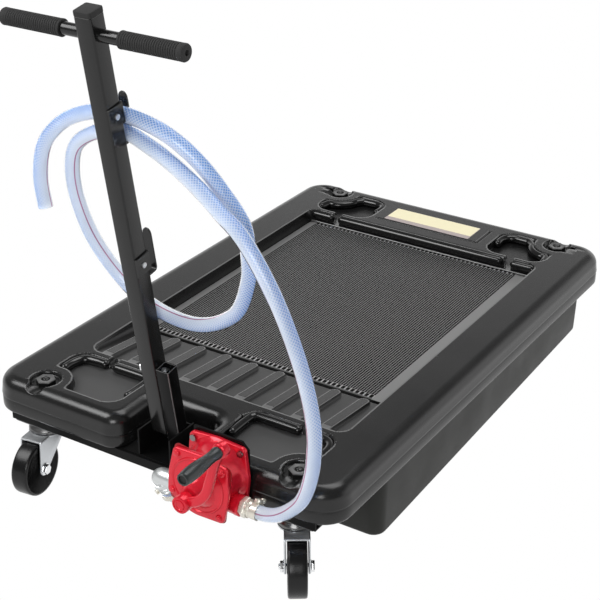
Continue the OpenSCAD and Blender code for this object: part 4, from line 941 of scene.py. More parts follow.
    @staticmethod
    def bar(points: Sequence[Point], r: float) -> Surface:
        """Returns a round bar with round ends."""
        path = spline(points, 6)
        w = np.linspace(0, 1, 7)[1:]
        k = np.concatenate([np.sqrt(1 - w[::-1] ** 2), np.ones(len(path)), np.sqrt(1 - w ** 2)])
        first = path[0] + unit(path[0] - path[1]) * (w[::-1] * r)[:, None]
        path = np.vstack([first, path, path[-1] + unit(path[-1] - path[-2]) * (w * r)[:, None]])
        made = tube(path, np.maximum(k * r, 0.02), 28, (0, 0.01, 1))
        return Surface(made.verts, made.faces)

    def sump(self) -> None:
        """Adds the sump with drafted walls, soft lower edges and a sloping floor."""
        base = round_rect(*self.SUMP, self.SUMP_R, 8)
        front, rear, r = self.SUMP[1], self.SUMP[3], self.SUMP_EDGE
        slope = (self.SUMP_HIGH - self.SUMP_LOW) / (rear - front)
        levels = [(0.0, 1.0, 0.0), (1.5, 0.45, 0.0)]
        a = np.linspace(0, math.pi / 2, 7)
        levels += [(3.0 + r * (1 - math.cos(t)), 0.0, r * (1 - math.sin(t))) for t in a]
        rings = []
        for draft, up, lift in levels:
            ring = inset(base, draft)
            floor = self.SUMP_LOW + slope * (ring[:, 1] - front)
            rings.append(at_height(ring, floor + lift + up * (self.SUMP_TOP - floor - lift)))
        middle = inset(base, 60)
        rings.append(at_height(middle, self.SUMP_LOW + slope * (middle[:, 1] - front)))
        made = loft(np.stack(rings[::-1]))
        made.faces = made.faces[:2]
        add_piece("sump_skin", made, Paint.SUMP, Body.TANK, ["sump_tub"], Shade.SMOOTH, True, "black_plastic")

    @staticmethod
    def cells(
        cx: Array, cy: Array, w: float, h: float, rx: float, ry: float, z: float, square: float = 1.0
    ) -> Surface:
        """Returns flat rectangular cells, each with an eight-sided hole in its middle.

        Args:
            cx: X of the cells' middles.
            cy: Y of the cells' middles.
            w: Width of a cell.
            h: Length of a cell.
            rx: Half width of a hole.
            ry: Half length of a hole.
            z: Height of the sheet.
            square: How far a hole's corners are pushed out; 1 gives an even eight-sided hole.

        Returns:
            The sheet.
        """
        a = np.arange(8) * math.pi / 4
        push = np.where(np.arange(8) % 2, square, 1.0)[:, None]
        hole = np.stack([rx * np.cos(a), ry * np.sin(a)], -1) * push
        sign = np.sign(np.round(np.stack([np.cos(a), np.sin(a)], -1), 6))
        rim = sign * (w / 2, h / 2)
        centre = np.stack([cx, cy], -1)[:, None]
        xy = np.concatenate([centre + rim[None], centre + hole[None]], 1)
        verts = np.concatenate([xy, np.full((*xy.shape[:2], 1), z)], -1).reshape(-1, 3)
        j = np.arange(8)
        quad = np.stack([j, (j + 1) % 8, (j + 1) % 8 + 8, j + 8], -1)
        faces = (np.arange(len(cx))[:, None, None] * 16 + quad[None]).reshape(-1, 4)
        return Surface(verts, [faces])

    @staticmethod
    def panel(x0: float, y0: float, x1: float, y1: float, z: float) -> Surface:
        """Returns a flat rectangle facing up."""
        verts = np.array([[x0, y0, z], [x1, y0, z], [x1, y1, z], [x0, y1, z]], float)
        return Surface(verts, [np.array([[0, 1, 2, 3]])])

    def grate(self) -> None:
        """Adds the perforated grate, its plain border, and a black sheet under it as painted shade."""
        z = self.GRATE_Z
        (x0, y0, x1, y1), (left, front, right, rear) = self.GRATE, self.GRATE_FRAME
        cols, rows = int(round((x1 - x0) / self.CELL_X)), int(round((y1 - y0) / self.CELL_Y))
        w, h = (x1 - x0) / cols, (y1 - y0) / rows
        i, j = np.meshgrid(np.arange(cols), np.arange(rows), indexing="ij")
        cx, cy = x0 + (i + 0.5) * w, y0 + (j + 0.5) * h
        holes = self.cells(cx.ravel(), cy.ravel(), w, h, 0.42 * w, 0.49 * h, z, 1.25)
        count = int(round((x1 - x0) / self.TOOTH_X))
        tw = (x1 - x0) / count
        tx = x0 + (np.arange(count) + 0.5) * tw
        tall = self.TOOTH_Y
        ends = [np.full(count, y) for y in (y0 - tall / 2, y1 + tall / 2)]
        teeth = [self.cells(tx, ty, tw, tall, 0.36 * tw, 5.2, z, 1.3) for ty in ends]
        edge = [
            self.panel(left, front, x0, rear, z), self.panel(x1, front, right, rear, z),
            self.panel(x0, y1 + tall, x1, rear, z),
        ]
        plain = {"body": Body.TANK, "closed": False, "slot": "grate_black"}
        add_piece("grate_sheet", holes, Paint.GRATE, replaces=["strainer_grate"], **plain)
        add_piece("grate_border", Surface.join(edge), Paint.GRATE_EDGE, **plain)
        add_piece("grate_teeth", Surface.join(teeth), Paint.TEETH, **plain)
        # A thin bar along the grate's rear edge in the edge finish, standing for a lit line there: painted
        # highlight.
        rail = self.bar([(left + 2, 365, z + 2.5), (right - 2, 365, z + 2.5)], 2.0)
        add_piece("grate_rail", rail, Paint.EDGE, Body.TANK, (), Shade.SMOOTH, True, "grate_black")
        # Painted shade: the sill gets a darker grey.
        add_piece("grate_sill", self.panel(x0, front, x1, y0 - tall, z), Paint.GRATE_FRONT, **plain)
        # A black sheet under the grate: painted shade.
        shadow = self.panel(left + 1, front + 1, right - 1, rear - 1, z - 6.5)
        add_piece("grate_shadow", shadow, Paint.BLACK, Body.TANK, closed=False)

    def fittings(self) -> None:
        """Adds the label, and the bolt heads in their dishes."""
        label = {"body": Body.TANK, "slot": "label_cream"}
        edge = plate(round_rect(-106, 412, 89, 472, 2), DECK_Z - 0.6, DECK_Z + 0.35, 0.2, 1)
        add_piece("label_border", edge, Paint.LABEL_EDGE, **label)
        face = plate(round_rect(-105, 426, 88, 471, 2), DECK_Z - 0.4, DECK_Z + 0.6, 0.2, 1)
        add_piece("label_sheet", face, Paint.LABEL, replaces=["label_plate"], **label)
        z = DECK_Z - 8
        hexagon = arc(0, 0, 17, 27, 327, 5)
        head = plate(hexagon, z - 2, z + 6.6, 0.5, 1)
        dome = revolve([(5.4, z + 6.2), (5.2, z + 7.2), (4.2, z + 8.2), (2.4, z + 8.9), (0.01, z + 9.1)], 32)
        sides = np.vstack([np.linspace(hexagon[i - 1], hexagon[i], 8, endpoint=False) for i in range(6)])
        inner = 7.8 * unit(sides)
        loops = (
            (sides, 6.4), (sides, 7.6), (0.94 * sides, 8.4), (1.1 * inner, 8.4), (inner, 7.8), (inner, 6.4),
        )
        ring = loft(np.stack([at_height(loop, z + h) for loop, h in loops]), caps=False)
        spots = [shift(sx * BOLT_X, sy * BOLT_Y, 0) for sx in (-1, 1) for sy in (-1, 1)]
        heads, rings, domes = (Surface.join([made.at(spot) for spot in spots]) for made in (head, ring, dome))
        bolt = {"body": Body.TANK, "slot": "dark_bolt"}
        # Painted shade and highlight: the bolt heads' sides get the darker black and their top rings a
        # lighter grey.
        add_piece("bolt_heads", heads, Paint.NIGHT, replaces=["corner_bolts"], **bolt)
        add_piece("bolt_rings", rings, Paint.HEAD, closed=False, **bolt)
        add_piece("bolt_ends", domes, Paint.ROLL, shade=Shade.SMOOTH, closed=False, **bolt)

    def build(self) -> None:
        """Adds every piece of the tank."""
        self.deck()
        self.sump()
        self.grate()
        self.fittings()
        # Painted shade: the cross tubes under the rim get the darker black.
        self.dress(Paint.NIGHT, "front_cross_tube", "rear_cross_tube", bevel=1.5)
        self.dress(Paint.ZINC, "corner_nuts")


@dataclass
class HandleLook(Look):
    """Mast, post, bar, grips and hooks."""

    @staticmethod
    def hook(z: float, finger: float, cheek: float) -> Surface:
        """Returns a bent strip behind the mast and the cheek that holds it.

        Args:
            z: Height of the hook's floor along the mast.
            finger: Height of the finger above the floor.
            cheek: Height of the cheek along the mast.

        Returns:
            The hook, in the mast's frame.
        """
        mid, r, top = 1.5, 5.0, z + finger
        y0, y1 = 15 + mid, 47 - mid
        path = np.vstack([
            [[y0, cheek + 32], [y0, cheek], [y0, z + r + mid]],
            arc(y0 + r, z + r + mid, r, 180, 270, 5)[1:], arc(y1 - r, z + r + mid, r, 270, 360, 5),
            [[y1, top - 12], [y1, top - 6], [y1, top - 3], [y1, top - 1], [y1, top]],
        ])
        half = np.full(len(path), 8.0)
        half[-5:] = [8.0, 7.4, 5.8, 4.0, 2.5]
        t = unit(np.gradient(path, axis=0))
        n = np.stack([-t[:, 1], t[:, 0]], -1)
        section = np.array([
            [-1, -0.6], [-0.95, -1], [0.95, -1], [1, -0.6], [1, 0.6], [0.95, 1], [-0.95, 1], [-1, 0.6],
        ])
        yz = path[:, None] + n[:, None] * (section[None, :, 1:] * mid)
        x = -20.5 + half[:, None] * section[None, :, 0]
        strip = loft(np.concatenate([x[..., None], yz], -1))
        wrap = [[-13, 15], [0.5, 15], [0.5, -15], [3.5, -15], [3.5, 16], [1.5, 18], [-13, 18]]
        return Surface.join([strip, plate(np.array(wrap, float), cheek, cheek + 32, 0.4, 1)])

    @staticmethod
    def bar_grip() -> Surface:
        """Returns a ribbed rubber grip along local Z, from its flanged inner end."""
        rows = [(9.6, 0), (12.4, 0), (13, 0.8), (13, 3.0), (12.2, 3.8)]
        for k in range(24):
            z = 5.0 + k * 3.9
            rows += [(11.8, z), (12.7, z + 0.7), (12.7, z + 2.5), (11.8, z + 3.2)]
        rows += [(12.7, 100), (12.9, 106.5), (11.9, 108.4), (9, 109), (4.2, 109), (4, 106), (0.01, 106)]
        return revolve(rows, 48)

    @staticmethod
    def post() -> Surface:
        """Returns the open-topped square post, in the tank's frame."""
        outer = round_rect(1.5, -15, 26.5, 10, 2.5, 4)
        inner = inset(outer, 2.5)
        levels = [
            (outer, -152), (outer, 13.4), (inset(outer, 0.6), 14), (inset(outer, 1.9), 14), (inner, 13.4),
            (inner, -60),
        ]
        return loft(np.stack([at_height(ring, z) for ring, z in levels])).at(MAST)

    @staticmethod
    def brighten(post: bpy.types.Object) -> None:
        """Paints the post's rounded corners and top edge in a lighter, glossier finish than its flat sides,
        as painted highlight.
        """
        normal = np.empty(len(post.data.polygons) * 3, np.float32)
        post.data.polygons.foreach_get("normal", normal)
        flat = np.abs(normal.reshape(-1, 3)).max(1) > FLAT_SIDE
        post.data.materials.append(Paint.EDGE.material())
        post.data.polygons.foreach_set("material_index", np.where(flat, 0, 1).astype(np.int32))

    def build(self) -> None:
        """Adds every piece of the handle."""
        steel = {"finish": Paint.STEEL, "slot": "black_steel"}
        mast = plate(round_rect(-29.5, -15, 0.5, 15, 3.0, 4), -120, 606, 0.4, 1).at(MAST)
        add_piece("mast_skin", mast, body=Body.MAST, replaces=["mast_tube"], **steel)
        cap = plate(round_rect(-30, -15.5, 1, 15.5, 4, 4), 605.5, 615, 2.0, 3).at(MAST)
        add_piece("mast_top", cap, Paint.GRIP, Body.MAST, ["mast_cap"], slot="black_plastic")
        middle = MAST @ shift(-14.5, 0, 577)
        bar = revolve([(9.5, -68), (9.5, 68)], 40).at(middle @ TO_X)
        add_piece("bar_tube", bar, body=Body.MAST, replaces=["cross_bar"], **steel)
        grip = self.bar_grip()
        for side, name in ((-1, "left"), (1, "right")):
            place = middle @ shift(side * 51, 0, 0) @ (TO_X if side > 0 else TO_X @ turn("X", 180))
            node = f"bar_grip_{name}"
            add_piece(f"grip_{name}", grip.at(place), Paint.GRIP, Body.MAST, [node], slot="grip_rubber")
        for z, finger, cheek, name in ((391, 76, 437, "upper"), (162, 74, 187, "lower")):
            strip = self.hook(z, finger, cheek).at(MAST)
            add_piece(f"hook_strip_{name}", strip, body=Body.MAST, replaces=[f"hook_{name}"], **steel)
        post = add_piece("post_tube", self.post(), Paint.POST, Body.TANK, ["post"], slot="black_steel")
        self.brighten(post)
        # Painted shade and highlight: the foot bracket gets the darker black, its softened edges a lighter
        # grey.
        self.dress(Paint.NIGHT, "foot_bracket", bevel=0.7, edge=Paint.EDGE)
        self.dress(Paint.ZINC, "foot_bolts", "pivot_nut", "hook_screws")
        self.dress(Paint.CHROME, "pivot_bolt", bevel=0.5)


@dataclass
class PumpLook(Look):
    """Rotary hand pump, its bracket, crank, ports and clamps.

    Args:
        studs: Places of the cover's corner studs, across and up from its middle.
    """

    studs: tuple[tuple[float, float], ...] = ((-37, 46), (46, 38), (38, -46), (-49, -24))

    @staticmethod
    def hull(discs: Sequence[tuple[float, float, float]]) -> Array:
        """Returns the outline drawn tight round some discs, each with its x, y and radius."""
        x, y, r = np.array(discs, float).T
        a = np.radians(np.arange(0, 360, 3.0))
        out = np.stack([np.cos(a), np.sin(a)], -1)
        middle = np.stack([x, y], -1)
        pick = np.argmax(middle @ out.T + r[:, None], 0)
        return middle[pick] + r[pick][:, None] * out

    def body(self) -> Surface:
        """Returns the rear flange, the barrel with its flared roots and the two ports."""
        corners = [(sx * 43, sz * 45, 9) for sx in (-1, 1) for sz in (-1, 1)]
        flange = plate(self.hull([(0, 0, 57), *corners]), 526, 534, 1.6, 3)
        barrel = revolve([
            (57, 533), (55, 535.5), (52.4, 540), (50.4, 546), (50, 553), (50, 562), (51.5, 570), (54, 576),
            (55, 579),
        ], 72)
        pipe = revolve([(14, 20), (16, 34), (16.2, 52), (17, 54), (17, 61), (16, 62), (10, 62)], 40)
        ports = [pipe.at(shift(0, PORT_Z - PUMP[2, 3], -PORT_Y) @ turn("Y", 90 * side)) for side in (-1, 1)]
        return Surface.join([flange, barrel, *ports]).at(PUMP)

    def cover(self) -> Surface:
        """Returns the cover with its raised dish, the dome, the boss and the corner studs."""
        lobes = [(x, z, 9) for x, z in self.studs]
        slab = plate(self.hull([(0, 0, 56), *lobes]), 578.4, 586, 2.0, 3)
        dish = revolve([
            (48.4, 585), (48.2, 587), (47.2, 588.4), (45.4, 588.2), (44.2, 587), (42, 587.2), (36, 587.8),
            (0.01, 588.2),
        ], 72)
        dome = revolve([
            (32.5, 586), (30, 589), (25.5, 593.5), (21.8, 598.5), (19.2, 604), (17.6, 609), (16.8, 611),
            (8.2, 611),
        ], 72)
        stud = revolve([(5.8, 585), (5.6, 588), (4.6, 589.2), (2.8, 589.6), (0.01, 589.6)], 24)
        studs = [stud.at(shift(x, z, 0)) for x, z in self.studs]
        return Surface.join([slab, dish, dome.at(OFF_MIDDLE), *studs]).at(PUMP)

    @staticmethod
    def arm() -> Surface:
        """Returns the crank: hub disc with rings, bowed arm and lug."""
        hub = revolve([
            (8.2, 615), (12, 615), (14, 616), (14.5, 618), (14.5, 633), (13.8, 635.2), (12.4, 636),
            (10.8, 636), (10.2, 634.7), (9, 634.7), (8.4, 636), (6.6, 636.4), (5.8, 635.4), (0.01, 635.4),
        ], 56)
        line = spline([(6, 3, 0), (25, 11, 0), (41, 29, 0), (50, 56, 0), (59, 88, 0), (*CRANK_END, 0)], 8)
        t = unit(np.gradient(line, axis=0))
        n = np.stack([-t[:, 1], t[:, 0], 0 * t[:, 0]], -1)
        section = round_rect(-7.5, -5.5, 7.5, 5.5, 3.6, 4)
        k = np.linspace(1.12, 0.94, len(line))[:, None, None]
        rings = line[:, None] + n[:, None] * section[None, :, :1] * k
        rings[..., 2] = 623.5 + section[None, :, 1]
        lug = revolve(
            [(0.01, 617), (10, 617), (12, 618.5), (12, 629.5), (11, 631), (8.4, 632), (0.01, 632)], 40
        )
        return Surface.join([hub, loft(rings), lug.at(shift(*CRANK_END, 0))]).at(PUMP @ OFF_MIDDLE)

    @staticmethod
    def grip() -> Surface:
        """Returns the loose grip, swollen towards its free end and open over its spindle's head."""
        rows = [
            (5, 632.6), (8.2, 632.6), (9.4, 633.6), (9.8, 637), (9, 642), (8.6, 650), (8.9, 658), (9.7, 667),
            (10.9, 678), (11.4, 688), (11.5, 698), (11.1, 707), (10.2, 713.5), (9.9, 716.4), (9, 717.6),
            (7, 717.6), (6.4, 716.6), (6.4, 712), (0.01, 712),
        ]
        return revolve(rows, 48).at(PUMP @ OFF_MIDDLE @ shift(*CRANK_END, 0))

    @staticmethod
    def clamp(r: float) -> Surface:
        """Returns a worm clamp about local Z, with its housing and screw on local X."""
        band = revolve([(r, 0), (r + 1.6, 0), (r + 1.6, 11), (r, 11), (r, 0)], 48)
        house = plate(round_rect(r + 0.5, -7, r + 7, 7, 2), 1, 10, 1.0, 2)
        screw = revolve([(0.01, -15), (4.2, -15), (4.2, -10), (2.6, -9), (2.6, 9), (0.01, 9)], 20)
        return Surface.join([band, house, screw.at(shift(r + 3.6, 0, 5.5) @ turn("X", -90))])

    def fittings(self) -> None:
        """Adds the outlet fitting, the inlet elbow and the clamps."""
        port = shift(0, PORT_Y, PORT_Z) @ TO_X
        nut = plate(arc(0, 0, 16.5, 0, 300, 5), 202, 211, 1.0, 2)
        collar = revolve([(13, 210), (15, 211), (15, 214.5), (13.2, 215.4), (12.4, 219), (8, 219)], 40)
        barb = Surface.join([nut, collar]).at(port)
        add_piece("outlet_fitting", barb, Paint.CREAM, Body.TANK, ["outlet_barb"], slot="fitting_grey")
        knee = np.vstack([[[78, PORT_Y, PORT_Z], [66, PORT_Y, PORT_Z]], self.elbow_path()])
        bend = tube(knee, 14.0, 32, (0.1, 1, 0.55))
        flange = revolve([(16.4, 72), (17, 73), (17, 77), (16.2, 78), (9, 78)], 40).at(port)
        across = (1.0, 0.0, 0.0)
        leg = basis(across, np.cross(ELBOW_DOWN, across), ELBOW_DOWN, (SUCTION_X, PORT_Y, PORT_Z))
        ring = revolve([
            (12, 14), (15.6, 15), (15.6, 23), (13, 24), (11.4, 30), (12.6, 31), (11.2, 38), (12.6, 39),
            (11, 46), (8, 46),
        ], 40)
        made = Surface.join([Surface(bend.verts, bend.faces), flange, ring.at(leg)])
        add_piece("inlet_knee", made, Paint.GREY, Body.TANK, ["inlet_elbow"], slot="fitting_grey")
        clamp = self.clamp(12.1)
        clamps = [
            clamp.at(shift(220.5, PORT_Y, PORT_Z) @ turn("Y", 90) @ turn("Z", 150)),
            clamp.at(leg @ shift(0, 0, 49) @ turn("Z", 200)),
            clamp.at(shift(SUCTION_X, -413, SUCTION_Z) @ turn("X", -90)),
        ]
        add_piece("worm_clamps", Surface.join(clamps), Paint.CREAM, Body.TANK, ["hose_clamps"], slot="zinc")

    @staticmethod
    def elbow_path() -> Array:
        """Returns the knee's centre line, from the port's direction to the leg's."""
        a = np.radians(np.linspace(0, 90, 9))[:, None]
        start, down, r = np.array([-1.0, 0, 0]), np.array(ELBOW_DOWN), 14
        centre = np.array([SUCTION_X + r, PORT_Y, PORT_Z]) + r * down
        return centre + r * (-down * np.cos(a) + start * np.sin(a))

    def build(self) -> None:
        """Adds every piece of the pump."""
        red = {"finish": Paint.RED, "slot": "pump_red"}
        add_piece("pump_casing", self.body(), body=Body.TANK, replaces=["pump_body"], **red)
        add_piece("pump_front", self.cover(), body=Body.TANK, replaces=["pump_cover", "cover_screws"], **red)
        add_piece("crank_lever", self.arm(), body=Body.CRANK, replaces=["crank_arm", "hub_screw"], **red)
        grip = self.grip()
        add_piece("crank_handle", grip, Paint.CRANK_GRIP, Body.GRIP, ["crank_grip"], slot="grip_rubber")
        self.fittings()
        # Painted highlight: the pump bracket's softened edges get a light grey.
        self.dress(Paint.POST, "pump_bracket", bevel=0.9, edge=Paint.PLATE_EDGE)
        self.dress(Paint.ZINC, "bracket_bolts", "rotor", "sump_spigot")
        self.dress(Paint.SCREW, "flange_screws", bevel=0.6)
        self.dress(Paint.GASKET, "gasket")
        self.dress(Paint.GRIP, "grip_spindle")


@dataclass
class CasterLook(Look):
    """Wheels, forks, axles and top plates."""

    @staticmethod
    def wheel() -> tuple[Surface, Surface]:
        """Returns a solid wheel about local Z, centred: its soft tread and its dished sides."""
        half = [
            (5.1, 16.5), (10, 16.5), (12.4, 15.8), (13, 13), (15, 11.6), (24, 11.3), (34, 11.3), (36.5, 12.4),
            (38, 14.2), (40, 15.2), (45, 15.4), (47.8, 14.9), (49.1, 13.4), (49.5, 11), (49.5, 5),
        ]
        inner = [(r, h) for r, h in half if r <= 45]
        outer = [(r, h) for r, h in half if r >= 45]
        tread = revolve([(r, -h) for r, h in outer] + outer[::-1], 80)
        sides = revolve(inner[::-1] + [(r, -h) for r, h in inner], 80)
        return tread, sides

    def tyre(self, name: str, place: Array, body: Body, node: str) -> None:
        """Adds a wheel: its tread, and its darker sides with the bore.

        Args:
            name: What the pieces' names start with.
            place: Where the wheel's axle is.
            body: The body that it rides on.
            node: The node that it stands for.
        """
        tread, sides = (part.at(place @ TO_Y) for part in self.wheel())
        plain = {"body": body, "slot": "wheel_black", "shade": Shade.SMOOTH, "closed": False}
        add_piece(f"{name}_tread", tread, Paint.RUBBER, replaces=[node], **plain)
        add_piece(f"{name}_sides", sides, Paint.TYRE_SIDE, **plain)

    @staticmethod
    def leg(top: float) -> Surface:
        """Returns one pressed side of a fork in the local XZ plane, about y = 0."""
        outline = np.vstack([
            arc(TRAIL, WHEEL_R, 12, -160, 20, 14), arc(45, top - 4, 4, 0, 90, 3),
            arc(-17, top - 3, 3, 90, 180, 3), [[-20, top - 14]],
        ])
        return plate(outline, -1.5, 1.5, 0.9, 2).at(TO_Y)

    def fork(self) -> Surface:
        """Returns a swivel fork: crown with a rolled rim and two legs."""
        crown = revolve([
            (6.2, 100.6), (24, 100.6), (29, 101), (30.6, 102.4), (30, 104.2), (27, 104.6), (6.2, 104.6),
        ], 56)
        bridge = plate(round_rect(-20, -20.5, 48, 20.5, 4), 100.2, 104, 1.2, 2)
        legs = [self.leg(104).at(shift(0, s * 19, 0)) for s in (-1, 1)]
        return Surface.join([crown, bridge, *legs])

    @staticmethod
    def axle() -> Surface:
        """Returns an axle bolt with head, washers and nut along local Y, at the origin."""
        rod = revolve([(0.01, -25), (4.9, -25), (4.9, 28), (4.0, 29), (0.01, 29)], 28)
        head = plate(arc(0, 0, 9, 0, 300, 5), -27, -21.6, 0.9, 2)
        nut = plate(arc(0, 0, 9, 12, 312, 5), 21.6, 26.6, 0.9, 2)
        washers = [revolve([(5, z), (10.6, z), (10.6, z + 1.2), (5, z + 1.2)], 32) for z in (-21.7, 20.4)]
        return Surface.join([rod, head, nut, *washers]).at(TO_Y)

    @staticmethod
    def top_plate() -> Surface:
        """Returns a caster's top plate and raceway about the kingpin."""
        slab = plate(round_rect(-48, -26, 48, 26, 6), 117, 120, 0.8, 2)
        race = revolve([
            (6, 105.2), (27, 105.2), (29.4, 106.2), (30, 108.6), (29, 112), (26, 114.4), (25, 117.2),
        ], 56)
        pin = revolve([(0.01, 95.8), (8.6, 95.8), (9.4, 97), (9.4, 100.2), (0.01, 100.2)], 32)
        return Surface.join([slab, race, pin])

    def build(self) -> None:
        """Adds every piece of the casters."""
        fronts = (
            ("left", -1, -83.0, Body.CASTER_LEFT, Body.WHEEL_FRONT_LEFT),
            ("right", 1, -56.0, Body.CASTER_RIGHT, Body.WHEEL_FRONT_RIGHT),
        )
        for name, side, angle, body, wheel_body in fronts:
            place = shift(side * BOLT_X, KINGPIN_Y, 0) @ turn("Z", angle)
            hub = place @ shift(TRAIL, 0, WHEEL_R)
            fork, axle = self.fork().at(place), self.axle().at(hub)
            add_piece(f"fork_shell_{name}", fork, Paint.ZINC, body, [f"fork_{name}"], slot="zinc")
            add_piece(f"axle_set_{name}", axle, Paint.CHROME, body, [f"axle_{name}"], slot="zinc")
            self.tyre(f"wheel_{name}", hub, wheel_body, f"wheel_{name}")
        plates = [self.top_plate().at(shift(s * BOLT_X, KINGPIN_Y, 0)) for s in (-1, 1)]
        # Painted shade: the caster tops get a darkened zinc.
        add_piece("caster_tops", Surface.join(plates), Paint.RACE, Body.TANK, ["caster_plates"], slot="zinc")
        rears = ((-1, "left", Body.WHEEL_REAR_LEFT), (1, "right", Body.WHEEL_REAR_RIGHT))
        for side, name, body in rears:
            hub = shift(side * BOLT_X, REAR_AXLE_Y, WHEEL_R) @ turn("Z", 90)
            self.tyre(f"rear_{name}", hub, body, f"rear_wheel_{name}")
        self.dress(Paint.ZINC, "rear_forks", bevel=0.8)
        self.dress(Paint.CHROME, "rear_axles", "caster_bolts", bevel=0.6)


@dataclass
class HoseLook:
    """The free discharge hose and the short suction hose.

    Args:
        route: Points of the discharge hose, pump to free end, in millimetres in the tank's frame.
        radius: Hose radius.
        bore: Radius of the tinted core that shows through its wall.
        bend_from: A point in metres in the part's frame, where the hose starts to follow the mast; not used.
        bend_to: A point where the hose follows the mast altogether; not used.
    """

    route: list[Point]
    radius: float = 12.0
    bore: float = 11.6
    bend_from: Point = (0.325, -0.453, 0.278)
    bend_to: Point = (0.192, -0.453, 0.468)

    def build(self) -> None:
        path = spline(self.route, 8)
        skin = tube(path, self.radius, 28, FLAT_REF, caps=False)
        core = tube(path, self.bore, 24, FLAT_REF, caps=False)
        ends = [self.rim(path[0], path[1]), self.rim(path[-1], path[-2])]
        made = Surface.join([skin, *ends, core])
        hose = add_piece("hose_tube", made, Paint.HOSE, None, ["hose"], Shade.SMOOTH, False, "hose_clear")
        hose.data.materials.append(Paint.HOSE_CORE.material())
        index = np.zeros(len(hose.data.polygons), np.int32)
        index[-len(core.faces[0]):] = 1
        hose.data.polygons.foreach_set("material_index", index)
        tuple(self.bend_from)
        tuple(self.bend_to)
        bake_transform(hose)
        self.suction()

    def suction(self) -> None:
        """Adds the short bent hose from the inlet elbow to the sump."""
        a, r = np.radians(np.linspace(63, 0, 16)), 60
        run = np.stack([np.full(16, SUCTION_X), -481.7 - r * np.sin(a), SUCTION_Z + r * (1 - np.cos(a))], -1)
        run = np.vstack([run, [[SUCTION_X, -440, SUCTION_Z], [SUCTION_X, -401, SUCTION_Z]]])
        made = tube(run, self.radius, 28, (1, 0.001, 0))
        plain = {"body": Body.TANK, "shade": Shade.SMOOTH, "slot": "hose_clear"}
        add_piece("suction_tube", made, Paint.HOSE_CORE, replaces=["suction_hose"], **plain)

    def rim(self, end: Array, inner: Array) -> Surface:
        """Returns the cut face of the hose, a ring round its core."""
        t = unit(end - inner)
        s = unit(np.cross(t, FLAT_REF))
        r = self.radius
        made = revolve([(r, 0), (r - 0.4, 0.5), (9.2, 0.5), (9, 0), (9, -18), (0.01, -18)], 28)
        uv = np.full((len(made.verts), 2), 0.12)
        return Surface(made.verts, [made.faces[0]], uv).at(basis(s, np.cross(t, s), t, end))


HOSE_ROUTE: list[Point] = [
    (219, -556, 152), (228, -556, 152), (238, -556, 152), (251, -556, 154.5), (266, -556, 161),
    (281, -556, 171.5), (294, -555, 184), (307, -555, 201), (316, -554, 223), (322, -553, 249),
    (325, -552, 275), (325, -551, 328), (310, -549, 395), (282, -547, 467), (246, -545, 534),
    (200, -541, 592), (156, -535, 621), (117, -531, 647), (72, -527, 671), (28, -524.5, 689),
    (-16, -523.2, 701), (-67, -522.5, 691), (-112, -519, 661), (-131, -512, 613), (-133, -500, 553),
    (-116, -487, 488), (-73, -474, 426), (-15, -466, 388), (60, -462, 381), (128, -464, 418),
    (158, -470, 480), (166, -478, 533), (165, -488, 584), (140, -500, 632), (104, -514, 681),
    (54, -525, 716.5), (-15, -527, 730), (-73, -527.5, 722), (-127, -528.5, 697), (-164, -532, 656),
    (-176, -534, 603), (-169, -536, 553),
]


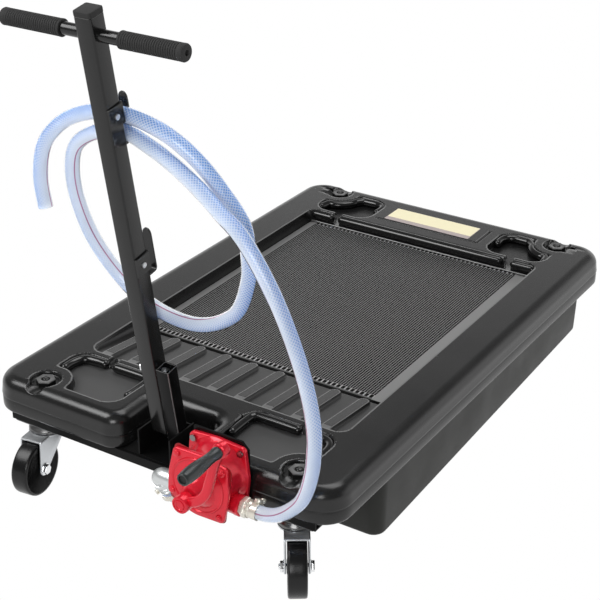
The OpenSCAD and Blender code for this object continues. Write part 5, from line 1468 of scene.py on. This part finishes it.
@dataclass
class Studio:
    """Camera, lamps, floor and world.

    Args:
        lens: The camera's focal length, in millimetres.
        sensor: Width of its sensor, in millimetres.
        azimuth: Where it stands, in degrees round from the handle end.
        elevation: How far it looks down, in degrees.
        eye: Where it is, in metres in the part's frame.
        reach: Half the floor's width, in metres.
        floor_z: Height of the floor, just under the wheels.
        floor_grey: What the floor gives back of the light on it.
    """

    lens: float = 88.78
    sensor: float = 36.0
    azimuth: float = 32.656
    elevation: float = 27.022
    eye: Point = (1.2783, -1.9760, 1.4521)
    reach: float = 14.0
    floor_z: float = -0.0005
    floor_grey: Colour = (0.5, 0.5, 0.5)

    def camera(self) -> None:
        """Adds the camera where the photograph was taken from."""
        data = bpy.data.cameras.new("camera")
        data.lens = self.lens
        data.sensor_width = self.sensor
        data.clip_end = 50.0
        cam = bpy.data.objects.new("camera", data)
        bpy.context.scene.collection.objects.link(cam)
        az, el = math.radians(self.azimuth), math.radians(self.elevation)
        back = Vector((math.sin(az) * math.cos(el), -math.cos(az) * math.cos(el), math.sin(el)))
        cam.location = self.eye
        cam.rotation_mode = "QUATERNION"
        cam.rotation_quaternion = (-back).to_track_quat("-Z", "Y")
        bpy.context.scene.camera = cam

    @staticmethod
    def lamp(name: str, at: Point, to: Point, size: tuple[float, float], watts: float) -> None:
        """Adds a soft rectangular lamp.

        Args:
            name: Its name.
            at: Where it is, in metres.
            to: What it points at.
            size: Its width and length.
            watts: Its power.
        """
        data = bpy.data.lights.new(name, "AREA")
        data.shape = "RECTANGLE"
        data.size, data.size_y = size
        data.energy = watts
        lamp = bpy.data.objects.new(name, data)
        lamp.location = at
        lamp.rotation_mode = "QUATERNION"
        lamp.rotation_quaternion = (Vector(to) - Vector(at)).to_track_quat("-Z", "Y")
        bpy.context.scene.collection.objects.link(lamp)

    def floor(self) -> None:
        """Adds a floor that the camera and shiny things see as white, and that lights others as grey."""
        mesh = bpy.data.meshes.new("floor")
        r, z = self.reach, self.floor_z
        mesh.from_pydata([(-r, -r, z), (r, -r, z), (r, r, z), (-r, r, z)], [], [(0, 1, 2, 3)])
        floor = bpy.data.objects.new("floor", mesh)
        bpy.context.scene.collection.objects.link(floor)
        mat = bpy.data.materials.new("floor_white")
        mat.use_nodes = True
        tree = mat.node_tree
        tree.nodes.remove(tree.nodes["Principled BSDF"])
        nodes = Nodes(tree)
        ray = nodes.add("LightPath", {}).outputs
        seen = nodes.calc("MAXIMUM", ray["Is Camera Ray"], ray["Is Glossy Ray"])
        seen = nodes.calc("MAXIMUM", seen, ray["Is Transmission Ray"])
        white = nodes.add("Emission", {"Strength": 1.0}).outputs[0]
        plain = nodes.add("BsdfDiffuse", {"Color": rgba(self.floor_grey)}).outputs[0]
        mix = nodes.add("MixShader", {"Fac": seen, 1: plain, 2: white}).outputs[0]
        nodes.feed(tree.nodes["Material Output"], {"Surface": mix})
        mesh.materials.append(mat)

    @staticmethod
    def world() -> None:
        """Sets a grey surround, bright low down behind the object, that the camera sees as white."""
        world = bpy.data.worlds.new("surround")
        bpy.context.scene.world = world
        world.use_nodes = True
        nodes = Nodes(world.node_tree)
        way = nodes.add("TexCoord", {}).outputs["Generated"]
        split = nodes.add("SeparateXYZ", {"Vector": way})
        low = nodes.ranged(split.outputs["Z"], GLOW_UP, (1.0, 0.0), "SMOOTHSTEP")
        far = nodes.ranged(split.outputs["Y"], GLOW_BACK, (0.0, 1.0), "SMOOTHSTEP")
        glow = nodes.calc("MULTIPLY", low, far)
        level = nodes.ranged(glow, (0.0, 1.0), (SURROUND, HORIZON), "SMOOTHSTEP")
        seen = nodes.add("LightPath", {}).outputs["Is Camera Ray"]
        white = {"Color": rgba((1.0, 1.0, 1.0)), "Strength": nodes.calc("MAXIMUM", seen, level)}
        nodes.feed(world.node_tree.nodes["Background"], white)

    def build(self) -> None:
        """Adds the whole studio."""
        self.floor()
        self.world()
        self.lamp("key", (-1.6, -1.6, 2.6), (0, 0, 0.2), (1.6, 1.6), 60)
        self.lamp("top", (0.2, 0.9, 2.8), (0, 0.1, 0.2), (2.2, 1.4), 35)
        self.lamp("fill", (0.9, -2.6, 1.2), (0, -0.4, 0.25), (1.2, 1.0), 26)
        scene = bpy.context.scene
        scene.view_settings.view_transform = "Standard"
        scene.view_settings.look = "None"


def main() -> None:
    """Builds the scene."""
    logging.basicConfig(level=logging.INFO)
    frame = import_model()
    nodes = frame["nodes"]
    studio = Studio()
    studio.camera()
    HoseLook(HOSE_ROUTE).build()
    TankLook(nodes).build()
    HandleLook(nodes).build()
    PumpLook(nodes).build()
    CasterLook(nodes).build()
    studio.build()


if __name__ == "__main__":
    main()
